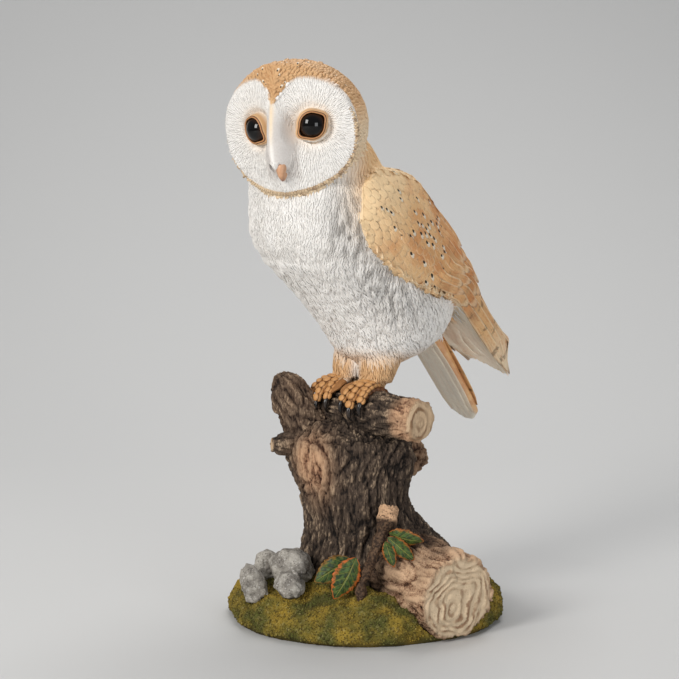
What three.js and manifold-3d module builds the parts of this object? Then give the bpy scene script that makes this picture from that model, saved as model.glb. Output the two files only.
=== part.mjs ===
// A cast and hand-painted barn owl statuette: the owl perches on a forked stump that stands, with a
// sawn log, rocks, a twig and leaves, on an oval mossy base. Units are millimetres, +Z is up, the
// viewer's side is -Y. The origin is the middle of the whole piece's footprint, at its flat underside.
import * as THREE from 'three';
import { mergeVertices } from 'three/addons/utils/BufferGeometryUtils.js';
import Module from 'manifold-3d';

const wasm = await Module();
wasm.setup();

// ---- Driving dimensions -------------------------------------------------------------------------
const GAP = 0.35; // clearance left between neighbouring solids
const BODY_YAW = -48; // degrees the body is turned towards the viewer's left
const HEAD_YAW = -24; // degrees the head is turned, in the piece's own frame
const HEAD_PITCH = 9; // degrees the face looks down
const HEAD_ROLL = -3; // degrees the head is tipped sideways
const LEAN = 36; // degrees the wings and tail lean back from upright
const FEET = { x: -8, y: 5 }; // where the owl stands
const PERCH = { z: 113, radius: 11, forward: 53, back: 26 }; // the branch it grips
const HEAD = { x: -36.5, y: -30, z: 265 }; // middle of the head
const BASE = { x: -1, halfWidth: 74.5, halfDepth: 64 };
const LOG = { x: 46, y: -51.5, z: 22.8, radius: 22.4, length: 76, yaw: 34, floor: 2.2 };
const EYE = { x: 15.3, y: -14.4, z: 1.6, radius: 7.6 };
const FOOT_SPACING = 13; // each foot's distance from the middle of the body
const PERCH_TOP = PERCH.z + PERCH.radius;
const LEAF_THICKNESS = 0.9;

const rad = THREE.MathUtils.degToRad;

// ---- Finishes -----------------------------------------------------------------------------------
function finish(color, roughness = 0.7, metalness = 0) {
  return new THREE.MeshStandardMaterial({ color, roughness, metalness });
}

const FINISHES = {
  white: finish(0xe4dfd8, 0.65),
  golden: finish(0xd9ac6c, 0.65),
  leg: finish(0xc79a60, 0.65),
  foot: finish(0xbe8440, 0.6),
  claw: finish(0x16120f, 0.3),
  beak: finish(0xc2906c, 0.5),
  eye: finish(0x070504, 0.05),
  bark: finish(0x4a3c30, 0.85),
  sawn: finish(0xb09072, 0.85),
  moss: finish(0x6a5f22, 0.95),
  rock: finish(0x85807a, 0.9),
  leaf: finish(0x33501d, 0.6),
  twig: finish(0x5b4030, 0.85),
};

// ---- Shapes by rule -----------------------------------------------------------------------------

/** The row of values at t, on a smooth curve through a short table of [t, value, value, ...] rows. */
function along(table, t) {
  const last = table.length - 1;
  const clamped = Math.min(Math.max(t, table[0][0]), table[last][0]);
  let i = 0;
  while (i < last - 1 && clamped > table[i + 1][0]) i += 1;
  const [a, b] = [table[i], table[i + 1]];
  const before = table[Math.max(i - 1, 0)];
  const after = table[Math.min(i + 2, last)];
  const span = b[0] - a[0];
  const u = (clamped - a[0]) / span;
  return a.slice(1).map((_, k) => {
    const j = k + 1;
    const slopeA = (b[j] - before[j]) / (b[0] - before[0] || 1);
    const slopeB = (after[j] - a[j]) / (after[0] - a[0] || 1);
    return (
      (2 * u ** 3 - 3 * u ** 2 + 1) * a[j] +
      (u ** 3 - 2 * u ** 2 + u) * span * slopeA +
      (3 * u ** 2 - 2 * u ** 3) * b[j] +
      (u ** 3 - u ** 2) * span * slopeB
    );
  });
}

/** Evenly spaced numbers from a to b, both included. */
function steps(a, b, count) {
  return Array.from({ length: count + 1 }, (_, i) => a + ((b - a) * i) / count);
}

/** A closed skin over rings of points, each end shut by a fan round its middle, facing out. */
function loft(rings) {
  const sides = rings[0].length;
  const points = rings.flat();
  const faces = [];
  for (let r = 0; r + 1 < rings.length; r += 1) {
    for (let i = 0; i < sides; i += 1) {
      const j = (i + 1) % sides;
      const [a, b, c, d] = [r * sides + i, r * sides + j, (r + 1) * sides + j, (r + 1) * sides + i];
      faces.push(a, b, c, a, c, d);
    }
  }
  for (const [start, flip] of [[0, true], [(rings.length - 1) * sides, false]]) {
    const middle = points.slice(start, start + sides).reduce((sum, p) => sum.add(p), new THREE.Vector3());
    points.push(middle.divideScalar(sides));
    for (let i = 0; i < sides; i += 1) {
      const [a, b] = [start + i, start + ((i + 1) % sides)];
      faces.push(...(flip ? [b, a, points.length - 1] : [a, b, points.length - 1]));
    }
  }
  const geometry = new THREE.BufferGeometry().setFromPoints(points);
  geometry.setIndex(faces);
  return outward(geometry);
}

/** The same geometry with its faces turned to point out. */
function outward(geometry) {
  const place = geometry.attributes.position;
  const index = geometry.index.array;
  const corner = [0, 1, 2].map(() => new THREE.Vector3());
  let volume = 0;
  for (let i = 0; i < index.length; i += 3) {
    corner.forEach((p, k) => p.fromBufferAttribute(place, index[i + k]));
    volume += corner[0].dot(corner[1].clone().cross(corner[2]));
  }
  if (volume < 0) {
    for (let i = 0; i < index.length; i += 3) {
      [index[i], index[i + 1]] = [index[i + 1], index[i]];
    }
  }
  return geometry;
}

/** The angles of a ring's points. */
function around(sides) {
  return steps(0, 2 * Math.PI, sides).slice(0, -1);
}

/** A ring in a level plane: an oval with its own reach to the front (-Y) and to the back (+Y). */
function levelRing(z, y, halfWidth, front, back) {
  return around(TRUNK_SIDES).map((angle) => {
    const reach = Math.sin(angle) < 0 ? front : back;
    return new THREE.Vector3(halfWidth * Math.cos(angle), y + reach * Math.sin(angle), z);
  });
}

/** A limb along a curve: stations are [x, y, z, radius], and bump(angle, t) adds to the radius. */
function limb(stations, sides, bump = () => 0, count = stations.length - 1) {
  const curve = new THREE.CatmullRomCurve3(stations.map(([x, y, z]) => new THREE.Vector3(x, y, z)));
  const frames = curve.computeFrenetFrames(count);
  const table = stations.map((s, i) => [i / (stations.length - 1), s[3]]);
  return loft(steps(0, 1, count).map((t, k) => {
    const middle = curve.getPoint(t);
    const [radius] = along(table, t);
    return around(sides).map((angle) => {
      const reach = radius + bump(angle, t);
      return middle.clone()
        .addScaledVector(frames.normals[k], reach * Math.cos(angle))
        .addScaledVector(frames.binormals[k], reach * Math.sin(angle));
    });
  }));
}

/** Bark ridges and lumps that run along a limb. */
function bark(height, seed) {
  return (angle, t) => height * (
    0.6 * Math.sin(5 * angle + 2.1 * seed + 3 * t) +
    0.4 * Math.sin(3 * angle - 1.7 * seed - 9 * t) +
    0.35 * Math.sin(2 * angle + seed + 17 * t)
  );
}

// ---- Joining and cutting ------------------------------------------------------------------------

const WELD = 1e-4; // vertices nearer than this are one

/** A copy with nothing but its places, and its shared vertices merged. */
function bareMesh(geometry) {
  const bare = geometry.clone();
  bare.deleteAttribute('normal');
  bare.deleteAttribute('uv');
  return mergeVertices(bare, WELD);
}

function toSolid(geometry) {
  const merged = bareMesh(geometry);
  return new wasm.Manifold(new wasm.Mesh({
    numProp: 3,
    vertProperties: new Float32Array(merged.attributes.position.array),
    triVerts: new Uint32Array(merged.index.array),
  }));
}

function toGeometry(solid) {
  const mesh = solid.getMesh();
  const geometry = new THREE.BufferGeometry();
  geometry.setAttribute('position', new THREE.BufferAttribute(mesh.vertProperties, 3));
  geometry.setIndex(new THREE.BufferAttribute(mesh.triVerts, 1));
  return geometry;
}

/** The shapes joined into one. */
function joined(...geometries) {
  return toGeometry(geometries.map(toSolid).reduce((all, one) => all.add(one)));
}

/** A copy pushed out along its normals, to cut a neighbour clear of it. */
function grown(geometry) {
  const copy = bareMesh(geometry);
  copy.computeVertexNormals();
  const { position, normal } = copy.attributes;
  for (let i = 0; i < position.count; i += 1) {
    position.setXYZ(
      i,
      position.getX(i) + GAP * normal.getX(i),
      position.getY(i) + GAP * normal.getY(i),
      position.getZ(i) + GAP * normal.getZ(i),
    );
  }
  return copy;
}

// ---- The frames that the pieces are built in ----------------------------------------------------
const statuette = new THREE.Group();

const owl = new THREE.Group(); // faces -Y, stands over its own origin, its left is +X
owl.position.set(FEET.x, FEET.y, 0);
owl.rotation.z = rad(BODY_YAW);
statuette.add(owl);

const leaning = new THREE.Group(); // +Y out of the back, -Z down the wings and tail
leaning.position.set(0, -30, 250);
leaning.rotation.x = rad(LEAN);
owl.add(leaning);

const head = new THREE.Group(); // +Z out of the crown, -Y out of the face
head.position.set(HEAD.x, HEAD.y, HEAD.z);
head.rotation.set(rad(HEAD_PITCH), rad(HEAD_ROLL), rad(HEAD_YAW), 'ZXY');
statuette.add(head);
statuette.updateMatrixWorld(true);

const raw = new Map();

/** Remembers a piece as shaped, in its group's frame, with the pieces that it gives way to. */
function piece(name, group, material, geometry, givesWayTo = []) {
  raw.set(name, { name, group, material, geometry, givesWayTo });
}

// ---- Head ---------------------------------------------------------------------------------------
const FACE = { halfWidth: 37.5, top: 31, bottom: 28.2, notch: 13, notchSpread: 0.21, centreZ: -2 };
const SKULL = { halfWidth: 38, top: 35.5, bottom: 31, back: 36 };
const HEAD_SIDES = 28;

/** The heart-shaped edge of the face: its reach from the middle, at an angle from the owl's left. */
function faceReach(angle) {
  const upper = Math.sin(angle) > 0;
  const height = upper ? FACE.top : FACE.bottom;
  const squareness = upper ? 2.5 : 2.15;
  const oval = (
    Math.abs(Math.cos(angle) / FACE.halfWidth) ** squareness +
    Math.abs(Math.sin(angle) / height) ** squareness
  ) ** (-1 / squareness);
  const offNotch = (angle - Math.PI / 2) / FACE.notchSpread;
  return oval - FACE.notch * Math.exp(-(offNotch ** 2));
}

// Rows: height on the face, how far the bridge above the beak stands out, and its half width.
const BRIDGE = [[-30, 0, 6], [-20, 3, 7], [-12, 7, 8], [0, 5, 6.5], [18, 0.5, 4]];

/** How far back the face lies at a place: two dished discs that fall away from the middle ridge. */
function faceDepth(x, z) {
  const side = Math.abs(x);
  const wedge = -25 + 0.4 * side + (z > 0 ? 0.0045 : 0.001) * z * z;
  const dish = 2.6 * Math.exp(-(((side - EYE.x) ** 2 + (z - EYE.z) ** 2) / 13 ** 2));
  const [bridge, width] = along(BRIDGE, z);
  return wedge + dish - bridge * Math.exp(-((side / width) ** 2));
}

/** The outline of the skull behind the face: a round head with a flatter underside. */
function skullReach(angle) {
  const height = Math.sin(angle) > 0 ? SKULL.top : SKULL.bottom;
  return 1 / Math.hypot(Math.cos(angle) / SKULL.halfWidth, Math.sin(angle) / height);
}

function headShape() {
  const angles = around(HEAD_SIDES);
  const rim = angles.map((angle) => {
    const x = faceReach(angle) * Math.cos(angle);
    const z = faceReach(angle) * Math.sin(angle) + FACE.centreZ;
    return new THREE.Vector3(x, faceDepth(x, z), z);
  });
  const faceRings = [0.14, 0.34, 0.56, 0.8, 1].map((share) => angles.map((angle, i) => {
    const x = rim[i].x * share;
    const z = (rim[i].z - FACE.centreZ) * share + FACE.centreZ;
    return new THREE.Vector3(x, faceDepth(x, z), z);
  }));
  const skullRings = steps(0, 1, 6).slice(1).map((t) => angles.map((angle, i) => {
    const blend = Math.min(1, t * 3.2);
    const y = rim[i].y + (SKULL.back - rim[i].y) * (1 - Math.cos(t * Math.PI * 0.47));
    const round = Math.sqrt(Math.max(0.02, 1 - (Math.max(y + 4, 0) / (SKULL.back + 6)) ** 2.2));
    const reach = skullReach(angle) * round;
    const x = THREE.MathUtils.lerp(rim[i].x, reach * Math.cos(angle), blend);
    const z = THREE.MathUtils.lerp(rim[i].z, reach * Math.sin(angle), blend);
    return new THREE.Vector3(x, y, z);
  }));
  return loft([...faceRings, ...skullRings]);
}

function eyeShape(side) {
  const ball = new THREE.SphereGeometry(EYE.radius, 12, 8);
  ball.translate(side * EYE.x, EYE.y, EYE.z);
  return ball;
}

/** The horn beak: a short hook that points down, out of the bristles under the bridge. */
function beakShape() {
  return limb([
    [0, -21, -12.5, 3.4],
    [0, -26, -15, 3.3],
    [0, -28, -18.5, 2.5],
    [0, -27.6, -22.3, 0.7],
  ], 8, (angle) => 0.5 * Math.cos(2 * angle), 5);
}

piece('eye_right', head, FINISHES.eye, eyeShape(-1));
piece('eye_left', head, FINISHES.eye, eyeShape(1));
piece('beak', head, FINISHES.beak, beakShape());
piece('head', head, FINISHES.white, headShape(), ['eye_left', 'eye_right', 'beak']);

// ---- Trunk and neck -----------------------------------------------------------------------------
// Each row: height, middle's distance behind the feet, half width, reach to the front, to the back.
const TRUNK = [
  [136.5, 15, 15, 11, 12],
  [141, 18, 24, 20, 21],
  [148, 21, 30.5, 27, 30],
  [157, 20.5, 35, 32.5, 40],
  [168, 16, 39, 37.5, 48],
  [180, 8, 41, 42, 52],
  [195, -6, 42, 45.5, 53],
  [208, -14, 42, 46, 51],
  [223, -19, 40, 42.5, 48],
  [232, -23.5, 37.5, 38.5, 44],
  [240, -27, 34.5, 36, 40],
];
const NECK = [
  [240 + GAP, -27, 34.5, 36, 40],
  [247, -27, 35.5, 25, 35],
  [254, -28, 34, 14, 30.5],
  [262, -30, 30.5, 8, 25],
  [269, -33, 25, 5, 19],
];
const TRUNK_SIDES = 20;

function levelLoft(table, count) {
  const [low, high] = [table[0][0], table[table.length - 1][0]];
  return loft(steps(0, 1, count).map((t) => {
    const z = low + (high - low) * t ** 1.12;
    const [y, halfWidth, front, back] = along(table, z);
    return levelRing(z, y, halfWidth, front, back);
  }));
}

piece('trunk', owl, FINISHES.white, levelLoft(TRUNK, 12), ['head', 'leg_left', 'leg_right']);
piece('neck', owl, FINISHES.golden, levelLoft(NECK, 4), ['head']);

// ---- Wings --------------------------------------------------------------------------------------
// Rows run down the wing: distance from the shoulder, then the front edge, the bulge of the side, the
// outer back corner and the back edge near the middle, each as a place (out, back), and the slab's
// depth at its back edge.
const WING = [
  [12, 39.5, -8, 40.5, -2, 37, 8, 32, 8, 4],
  [20, 42.3, -17, 44.8, -5, 35, 17, 25, 18, 9],
  [28, 44, -23, 47, -4, 32.5, 26, 18, 26.5, 12],
  [38, 45, -25, 48, -2, 31, 32.2, 13, 33.5, 13],
  [51, 46, -22.7, 48.5, 2, 30.8, 34.6, 10, 36, 14],
  [69, 46, -14.5, 47.5, 8, 30, 35.6, 7, 37, 14],
  [84, 45, -6, 45.5, 12, 29.6, 36, 5, 37.6, 15],
  [103, 39, 10, 39.5, 20, 28.5, 36.6, 2.5, 38, 17],
  [128, 30, 19, 31.5, 27, 25.5, 37, 1.2, 39.5, 19],
  [150, 24, 25.3, 25.5, 31.5, 22.5, 38.8, 1, 41.5, 19],
  [162, 20.8, 28.5, 24, 36, 24, 41.4, 1, 42.5, 18],
  [168, 19, 30.2, 21.5, 37, 21.5, 41.4, 1, 42.8, 15],
  [175, 17, 32.5, 17.5, 35.5, 14, 39.5, 2, 41, 9],
  [187, 13.2, 36, 13.6, 37, 12, 38.8, 9, 39.5, 3],
];
const WING_OUTER = 8; // points round the outer face of a section
const WING_INNER = 4; // and along its inner face
const RIGHT_WING_SHARE = 0.955; // the right wing is folded a little higher than the left

function wingShape(side, lengthShare) {
  const [first, last] = [WING[0][0], WING[WING.length - 1][0]];
  return loft(steps(first, last, 14).map((down) => {
    const row = along(WING, down);
    const [front, bulge, corner, back] = [0, 2, 4, 6].map((k) => new THREE.Vector3(row[k], row[k + 1]));
    const depth = row[8];
    const outer = new THREE.CatmullRomCurve3([front, bulge, corner, back], false, 'centripetal');
    const inner = new THREE.QuadraticBezierCurve3(
      new THREE.Vector3(back.x, back.y - depth),
      new THREE.Vector3((front.x + back.x) / 2, (front.y + back.y - depth) / 2 + 2),
      new THREE.Vector3(front.x - 0.25 * depth, front.y + 0.5),
    );
    return [...outer.getPoints(WING_OUTER), ...inner.getPoints(WING_INNER)]
      .map((p) => new THREE.Vector3(side * p.x, p.y, -down * lengthShare));
  }));
}

piece('wing_left', leaning, FINISHES.golden, wingShape(1, 1), ['trunk', 'head', 'neck']);
piece('wing_right', leaning, FINISHES.golden, wingShape(-1, RIGHT_WING_SHARE), ['trunk', 'head', 'neck']);

// ---- Tail ---------------------------------------------------------------------------------------
// Rows run down the tail: distance from the shoulder, half width, the plate's front and back faces.
const TAIL = [
  [104, 15, -4, 12],
  [120, 14, 1, 13],
  [140, 12.5, 3.5, 12.5],
  [165, 12, 4.5, 11.5],
  [184, 12, 4.5, 11],
  [192, 9.5, 5, 10.5],
  [196, 4, 6, 10],
];

function tailShape() {
  const [first, last] = [TAIL[0][0], TAIL[TAIL.length - 1][0]];
  return loft(steps(0, 1, 8).map((t) => {
    const down = first + (last - first) * (1 - (1 - t) ** 1.25);
    const [halfWidth, front, back] = along(TAIL, down);
    return around(14).map((angle) => {
      const across = Math.sign(Math.cos(angle)) * Math.abs(Math.cos(angle)) ** 0.6;
      const through = Math.sign(Math.sin(angle)) * Math.abs(Math.sin(angle)) ** 0.7;
      return new THREE.Vector3(
        halfWidth * across,
        (front + back) / 2 + ((back - front) / 2) * through,
        -down,
      );
    });
  }));
}

piece('tail', leaning, FINISHES.golden, tailShape(), ['trunk', 'leg_left', 'leg_right']);

// ---- Legs and feet ------------------------------------------------------------------------------
const TOES = [
  { name: 'inner', start: -32, end: 66, spread: -7, radius: 3 },
  { name: 'middle', start: -34, end: 76, spread: 0.3, radius: 3.3 },
  { name: 'outer', start: -32, end: 62, spread: 7.5, radius: 3 },
  { name: 'hind', start: -20, end: -78, spread: -1.5, radius: 2.8 },
];

/** A point on the way round the perch: degrees forward from its top, at a height over its bark. */
function roundPerch(x, degrees, height) {
  const reach = PERCH.radius + height;
  return [x, -reach * Math.sin(rad(degrees)), PERCH.z + reach * Math.cos(rad(degrees))];
}

function toeShape(footX, toe, side) {
  const stations = steps(0, 1, 5).map((t) => {
    const degrees = THREE.MathUtils.lerp(toe.start, toe.end, t);
    const x = footX + side * toe.spread * t ** 0.7;
    const radius = toe.radius * (1 - 0.22 * t) * (1 + 0.06 * Math.cos(t * 4 * Math.PI));
    return [...roundPerch(x, degrees, toe.radius * 0.9 + GAP), radius];
  });
  return limb(stations, 6, undefined, 5);
}

function clawShape(footX, toe, side) {
  const way = Math.sign(toe.end);
  const x = footX + side * toe.spread;
  const stations = [
    [...roundPerch(x, toe.end + way * 2, toe.radius * 1.15), 1.9],
    [...roundPerch(x, toe.end + way * 17, toe.radius * 1.35), 1.75],
    [...roundPerch(x + side * 0.2, toe.end + way * 32, toe.radius * 1.1), 1.2],
    [...roundPerch(x + side * 0.3, toe.end + way * 44, toe.radius * 0.45), 0.45],
  ];
  return limb(stations, 5, undefined, 4);
}

function footShape(footX, side) {
  const ankle = limb([
    [footX, 4.5, PERCH_TOP + 1.5, 5],
    [footX, 6.5, PERCH_TOP + 4, 5.6],
    [footX, 8, PERCH_TOP + 7, 5.4],
  ], 7);
  return joined(ankle, ...TOES.map((toe) => toeShape(footX, toe, side)));
}

function legShape(side) {
  const x = side * FOOT_SPACING;
  return limb([
    [x, 6.8, PERCH_TOP + 4.2, 7.8],
    [x, 8, PERCH_TOP + 9, 9],
    [x * 0.98, 10.5, PERCH_TOP + 16, 10.2],
    [x * 0.97, 14, PERCH_TOP + 24, 11.5],
    [x * 0.96, 17, PERCH_TOP + 31, 10],
  ], 10, undefined, 5);
}

for (const [word, side] of [['left', 1], ['right', -1]]) {
  const footX = side * FOOT_SPACING;
  const claws = TOES.map((toe) => `claw_${word}_${toe.name}`);
  TOES.forEach((toe, i) => piece(claws[i], owl, FINISHES.claw, clawShape(footX, toe, side)));
  piece(`foot_${word}`, owl, FINISHES.foot, footShape(footX, side), claws);
  piece(`leg_${word}`, owl, FINISHES.leg, legShape(side), [`foot_${word}`]);
}
raw.get('leg_left').givesWayTo.push('leg_right');

// ---- Log and base -------------------------------------------------------------------------------

/** The sawn log: it lies on the base and points towards the viewer and a little to the right. */
function logShape() {
  const way = [Math.sin(rad(LOG.yaw)), -Math.cos(rad(LOG.yaw))];
  const stations = steps(0, 1, 5).map((t) => {
    const back = t * LOG.length;
    const radius = LOG.radius + 1.2 * Math.sin(t * Math.PI) - 2 * t * t;
    return [LOG.x - way[0] * back, LOG.y - way[1] * back, LOG.z + 3 * t, radius];
  });
  const shape = limb(stations, 18, bark(0.8, 4), 6);
  const place = shape.attributes.position;
  for (let i = 0; i < place.count; i += 1) {
    place.setZ(i, Math.max(place.getZ(i), LOG.floor + 0.02 * Math.abs(place.getX(i) - LOG.x)));
  }
  return shape;
}

// Rows: height, share of the base's full width and depth.
const BASE_EDGE = [[0, 0.968], [3, 0.994], [8, 1], [13, 0.965], [17, 0.88], [20.5, 0.74], [23.5, 0.42]];

function baseShape() {
  return loft(BASE_EDGE.map(([z, share]) => around(28).map((angle) => {
    const uneven = 1 + 0.012 * Math.sin(3 * angle + 1) + 0.008 * Math.sin(7 * angle);
    const mound = z < 10 ? 0 : 1.3 * Math.sin(4 * angle + z) + 0.9 * Math.sin(7 * angle - z);
    return new THREE.Vector3(
      BASE.x + BASE.halfWidth * share * uneven * Math.cos(angle),
      BASE.halfDepth * share * uneven * Math.sin(angle),
      z + mound * (1 - share * share),
    );
  })));
}

piece('log', statuette, FINISHES.sawn, logShape());
piece('ground', statuette, FINISHES.moss, baseShape(), ['log']);

// ---- Stump --------------------------------------------------------------------------------------
// Rows: height, middle's place across and back, half width, half depth.
const STUMP = [
  [14, 6, 10, 52, 38],
  [26, 6, 9, 45, 33],
  [38, 3.5, 8, 38.5, 29],
  [48, -1, 7, 32.5, 26.5],
  [58, -4.5, 6, 29, 25],
  [68, -6.5, 6, 29, 24.5],
  [80, -7, 6, 32.5, 25],
  [92, -9.5, 7, 35.5, 25.5],
  [101, -13, 9, 31, 23],
  [106, -15, 11, 24, 17],
];

function stumpShape() {
  const ridges = bark(1.3, 1);
  const [low, high] = [STUMP[0][0], STUMP[STUMP.length - 1][0]];
  return loft(steps(low, high, 9).map((z) => {
    const [x, y, halfWidth, halfDepth] = along(STUMP, z);
    return around(18).map((angle) => {
      const extra = ridges(angle, z / 100);
      return new THREE.Vector3(
        x + (halfWidth + extra) * Math.cos(angle),
        y + (halfDepth + extra) * Math.sin(angle),
        z,
      );
    });
  }));
}

function perchShape() {
  const [ux, uy] = [Math.cos(rad(BODY_YAW)), Math.sin(rad(BODY_YAW))];
  const stations = steps(-PERCH.back, PERCH.forward, 6).map((reach, i) => [
    FEET.x + ux * reach,
    FEET.y + uy * reach,
    PERCH.z - 0.035 * Math.max(0, -reach - 8) ** 2,
    PERCH.radius - [0.6, 0.4, 0.3, 0.4, 0.6, 0.7, 1.2][i],
  ]);
  return limb(stations, 14, bark(0.35, 2), 7);
}

// Each row: a place on the middle line, from the cut end to the stump, and the radius there.
const BRANCH = [
  [-46.5, 10, 130, 8.2],
  [-43, 9.5, 122, 10],
  [-37, 9, 110, 11],
  [-30, 8, 98, 13],
  [-24, 7, 88, 13],
];
const STUB = [[29, 14, 88, 8.4], [24, 12, 86.5, 10.2], [16, 10, 84, 11.5], [8, 8, 82, 12]];
const KNOT = [[-51, -2, 94.5, 3.4], [-47, -1, 94.5, 5.2], [-41, 1, 94, 6.2], [-34, 2, 93, 6]];

const talons = ['left', 'right'].flatMap((word) => [
  `foot_${word}`,
  ...TOES.map((toe) => `claw_${word}_${toe.name}`),
]);
const barkPiece = (name, shape, givesWayTo) => {
  piece(name, statuette, FINISHES.bark, shape, [...talons, ...givesWayTo]);
};
barkPiece('perch_branch', perchShape(), []);
barkPiece('stump', stumpShape(), ['ground', 'log', 'perch_branch']);
barkPiece('left_branch', limb(BRANCH, 10, bark(0.7, 3), 5), ['stump', 'perch_branch']);
barkPiece('right_stub', limb(STUB, 10, bark(0.8, 5), 4), ['stump', 'perch_branch']);
piece('knot', statuette, FINISHES.sawn, limb(KNOT, 8, bark(0.3, 6), 3), ['stump', 'left_branch']);

// ---- Rocks --------------------------------------------------------------------------------------

/** A worn stone: a faceted ball, squashed to its half sizes and chipped by two slow waves. */
function stone(at, half, seed, turn) {
  const ball = bareMesh(new THREE.IcosahedronGeometry(1, 1));
  const place = ball.attributes.position;
  for (let i = 0; i < place.count; i += 1) {
    const [px, py, pz] = [place.getX(i), place.getY(i), place.getZ(i)];
    const broad = 0.1 * Math.sin(4 * px + seed) * Math.cos(3 * pz - seed);
    const chip = 1 + broad + 0.07 * Math.sin(5 * py + 2 * seed);
    const flat = Math.min(1, 0.9 / Math.max(Math.abs(px) + Math.abs(pz) * 0.5, 0.01));
    place.setXYZ(i, px * chip * flat, py * chip, pz * chip * flat);
  }
  ball.scale(...half);
  ball.rotateY(rad(turn));
  ball.translate(...at);
  return ball;
}

const STONES = [
  { name: 'rock_large', at: [-40, -20, 32], half: [13.5, 12, 10], seed: 1, turn: 12 },
  { name: 'rock_front', at: [-41, -36, 25], half: [9.5, 8.5, 7.5], seed: 3, turn: 0 },
  { name: 'rock_left', at: [-60.5, -25, 22], half: [7.5, 8.5, 13], seed: 5, turn: -18 },
  { name: 'rock_back', at: [-54, -6, 27], half: [9, 9, 9.5], seed: 8, turn: 0 },
];
STONES.forEach(({ name, at, half, seed, turn }, i) => {
  const laid = STONES.slice(0, i).map((other) => other.name);
  piece(name, statuette, FINISHES.rock, stone(at, half, seed, turn), ['ground', 'stump', ...laid]);
});

// ---- Twig and leaves ----------------------------------------------------------------------------
// Each row: a place on the twig's middle line, from the moss to its swollen tip, and the radius there.
const TWIG = [
  [-4.5, -47, 20, 2.8],
  [-2, -43.5, 32, 2.6],
  [3.5, -37, 44, 2.7],
  [8.5, -31, 55, 3.6],
  [10.5, -27.5, 64.5, 4.6],
];

/** A leaf: a pointed oval plate of even thickness, folded a little along its rib and curled. */
function leafShape(length, width, curl) {
  const half = width / 2;
  const outline = new THREE.Shape();
  outline.moveTo(0, 0);
  outline.quadraticCurveTo(half * 1.5, length * 0.35, 0, length);
  outline.quadraticCurveTo(-half * 1.5, length * 0.35, 0, 0);
  const plate = new THREE.ExtrudeGeometry(outline, {
    depth: LEAF_THICKNESS,
    bevelEnabled: false,
    curveSegments: 5,
  });
  const place = plate.attributes.position;
  for (let i = 0; i < place.count; i += 1) {
    const [x, y] = [place.getX(i), place.getY(i)];
    place.setZ(i, place.getZ(i) + 0.3 * Math.abs(x) - curl * (y / length) ** 2);
  }
  return plate;
}

/** Places a leaf by its foot, the way its rib points and how far it is rolled about the rib. */
function placeLeaf({ name, foot, tip, width, curl, roll }, givesWayTo) {
  const from = new THREE.Vector3(...foot);
  const rib = new THREE.Vector3(...tip).sub(from);
  const shape = leafShape(rib.length(), width, curl);
  const mesh = new THREE.Group();
  mesh.position.copy(from);
  const up = rib.clone().normalize();
  const face = new THREE.Vector3(0, -1, 0).applyAxisAngle(up, rad(roll));
  const across = new THREE.Vector3().crossVectors(up, face).normalize();
  const normal = new THREE.Vector3().crossVectors(across, up);
  mesh.quaternion.setFromRotationMatrix(new THREE.Matrix4().makeBasis(across, up, normal));
  statuette.add(mesh);
  mesh.updateMatrixWorld(true);
  piece(name, mesh, FINISHES.leaf, shape, givesWayTo);
}

const LEAVES = [
  { name: 'leaf_front', foot: [-6.5, -45.5, 43], tip: [-18, -49, 22], width: 14, curl: -2, roll: -14 },
  { name: 'leaf_back', foot: [-9, -37, 40], tip: [-28, -41.5, 29], width: 13, curl: -2, roll: 18 },
  { name: 'leaf_upper', foot: [11, -36, 54], tip: [29, -40, 50.5], width: 9, curl: 2, roll: 20 },
  { name: 'leaf_middle', foot: [10, -38, 52], tip: [24, -44, 41], width: 8, curl: 2, roll: -12 },
  { name: 'leaf_small', foot: [9, -39, 50], tip: [13.5, -46, 38], width: 6.5, curl: 1.5, roll: 0 },
];
const leafNeighbours = ['ground', 'log', 'stump', 'twig', 'rock_large', 'rock_front'];

piece('twig', statuette, FINISHES.twig, limb(TWIG, 8, bark(0.3, 7), 5), ['ground', 'log', 'stump']);
LEAVES.forEach((leaf, i) => {
  const laid = LEAVES.slice(0, i).map((other) => other.name);
  placeLeaf(leaf, [...leafNeighbours, ...laid]);
});

// ---- Cutting the pieces clear of each other, and the finished group -----------------------------
const done = new Map();

/** The piece's finished shape in its own group's frame, cut clear of all that it gives way to. */
function finished(name) {
  if (!done.has(name)) {
    const { group, geometry, givesWayTo } = raw.get(name);
    const inverse = group.matrixWorld.clone().invert();
    let solid = toSolid(geometry);
    for (const other of givesWayTo) {
      const placing = inverse.clone().multiply(raw.get(other).group.matrixWorld);
      for (const shape of [raw.get(other).geometry, grown(raw.get(other).geometry)]) {
        solid = solid.subtract(toSolid(shape.clone().applyMatrix4(placing)));
      }
    }
    const largest = solid.decompose().sort((a, b) => b.volume() - a.volume())[0];
    done.set(name, toGeometry(largest));
  }
  return done.get(name);
}

for (const { name, group, material } of raw.values()) {
  const mesh = new THREE.Mesh(finished(name), material);
  mesh.name = name;
  group.add(mesh);
}

statuette.updateMatrixWorld(true);
const bounds = new THREE.Box3().setFromObject(statuette, true);
const middle = bounds.getCenter(new THREE.Vector3());
statuette.position.set(-middle.x, -middle.y, -bounds.min.z);
statuette.updateMatrixWorld(true);

export default statuette;
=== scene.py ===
from math import cos, pi, radians, sin, tau

import bmesh
import bpy
import numpy as np
from mathutils import Matrix, Vector, noise
from mathutils.bvhtree import BVHTree
from mathutils.kdtree import KDTree


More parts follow.
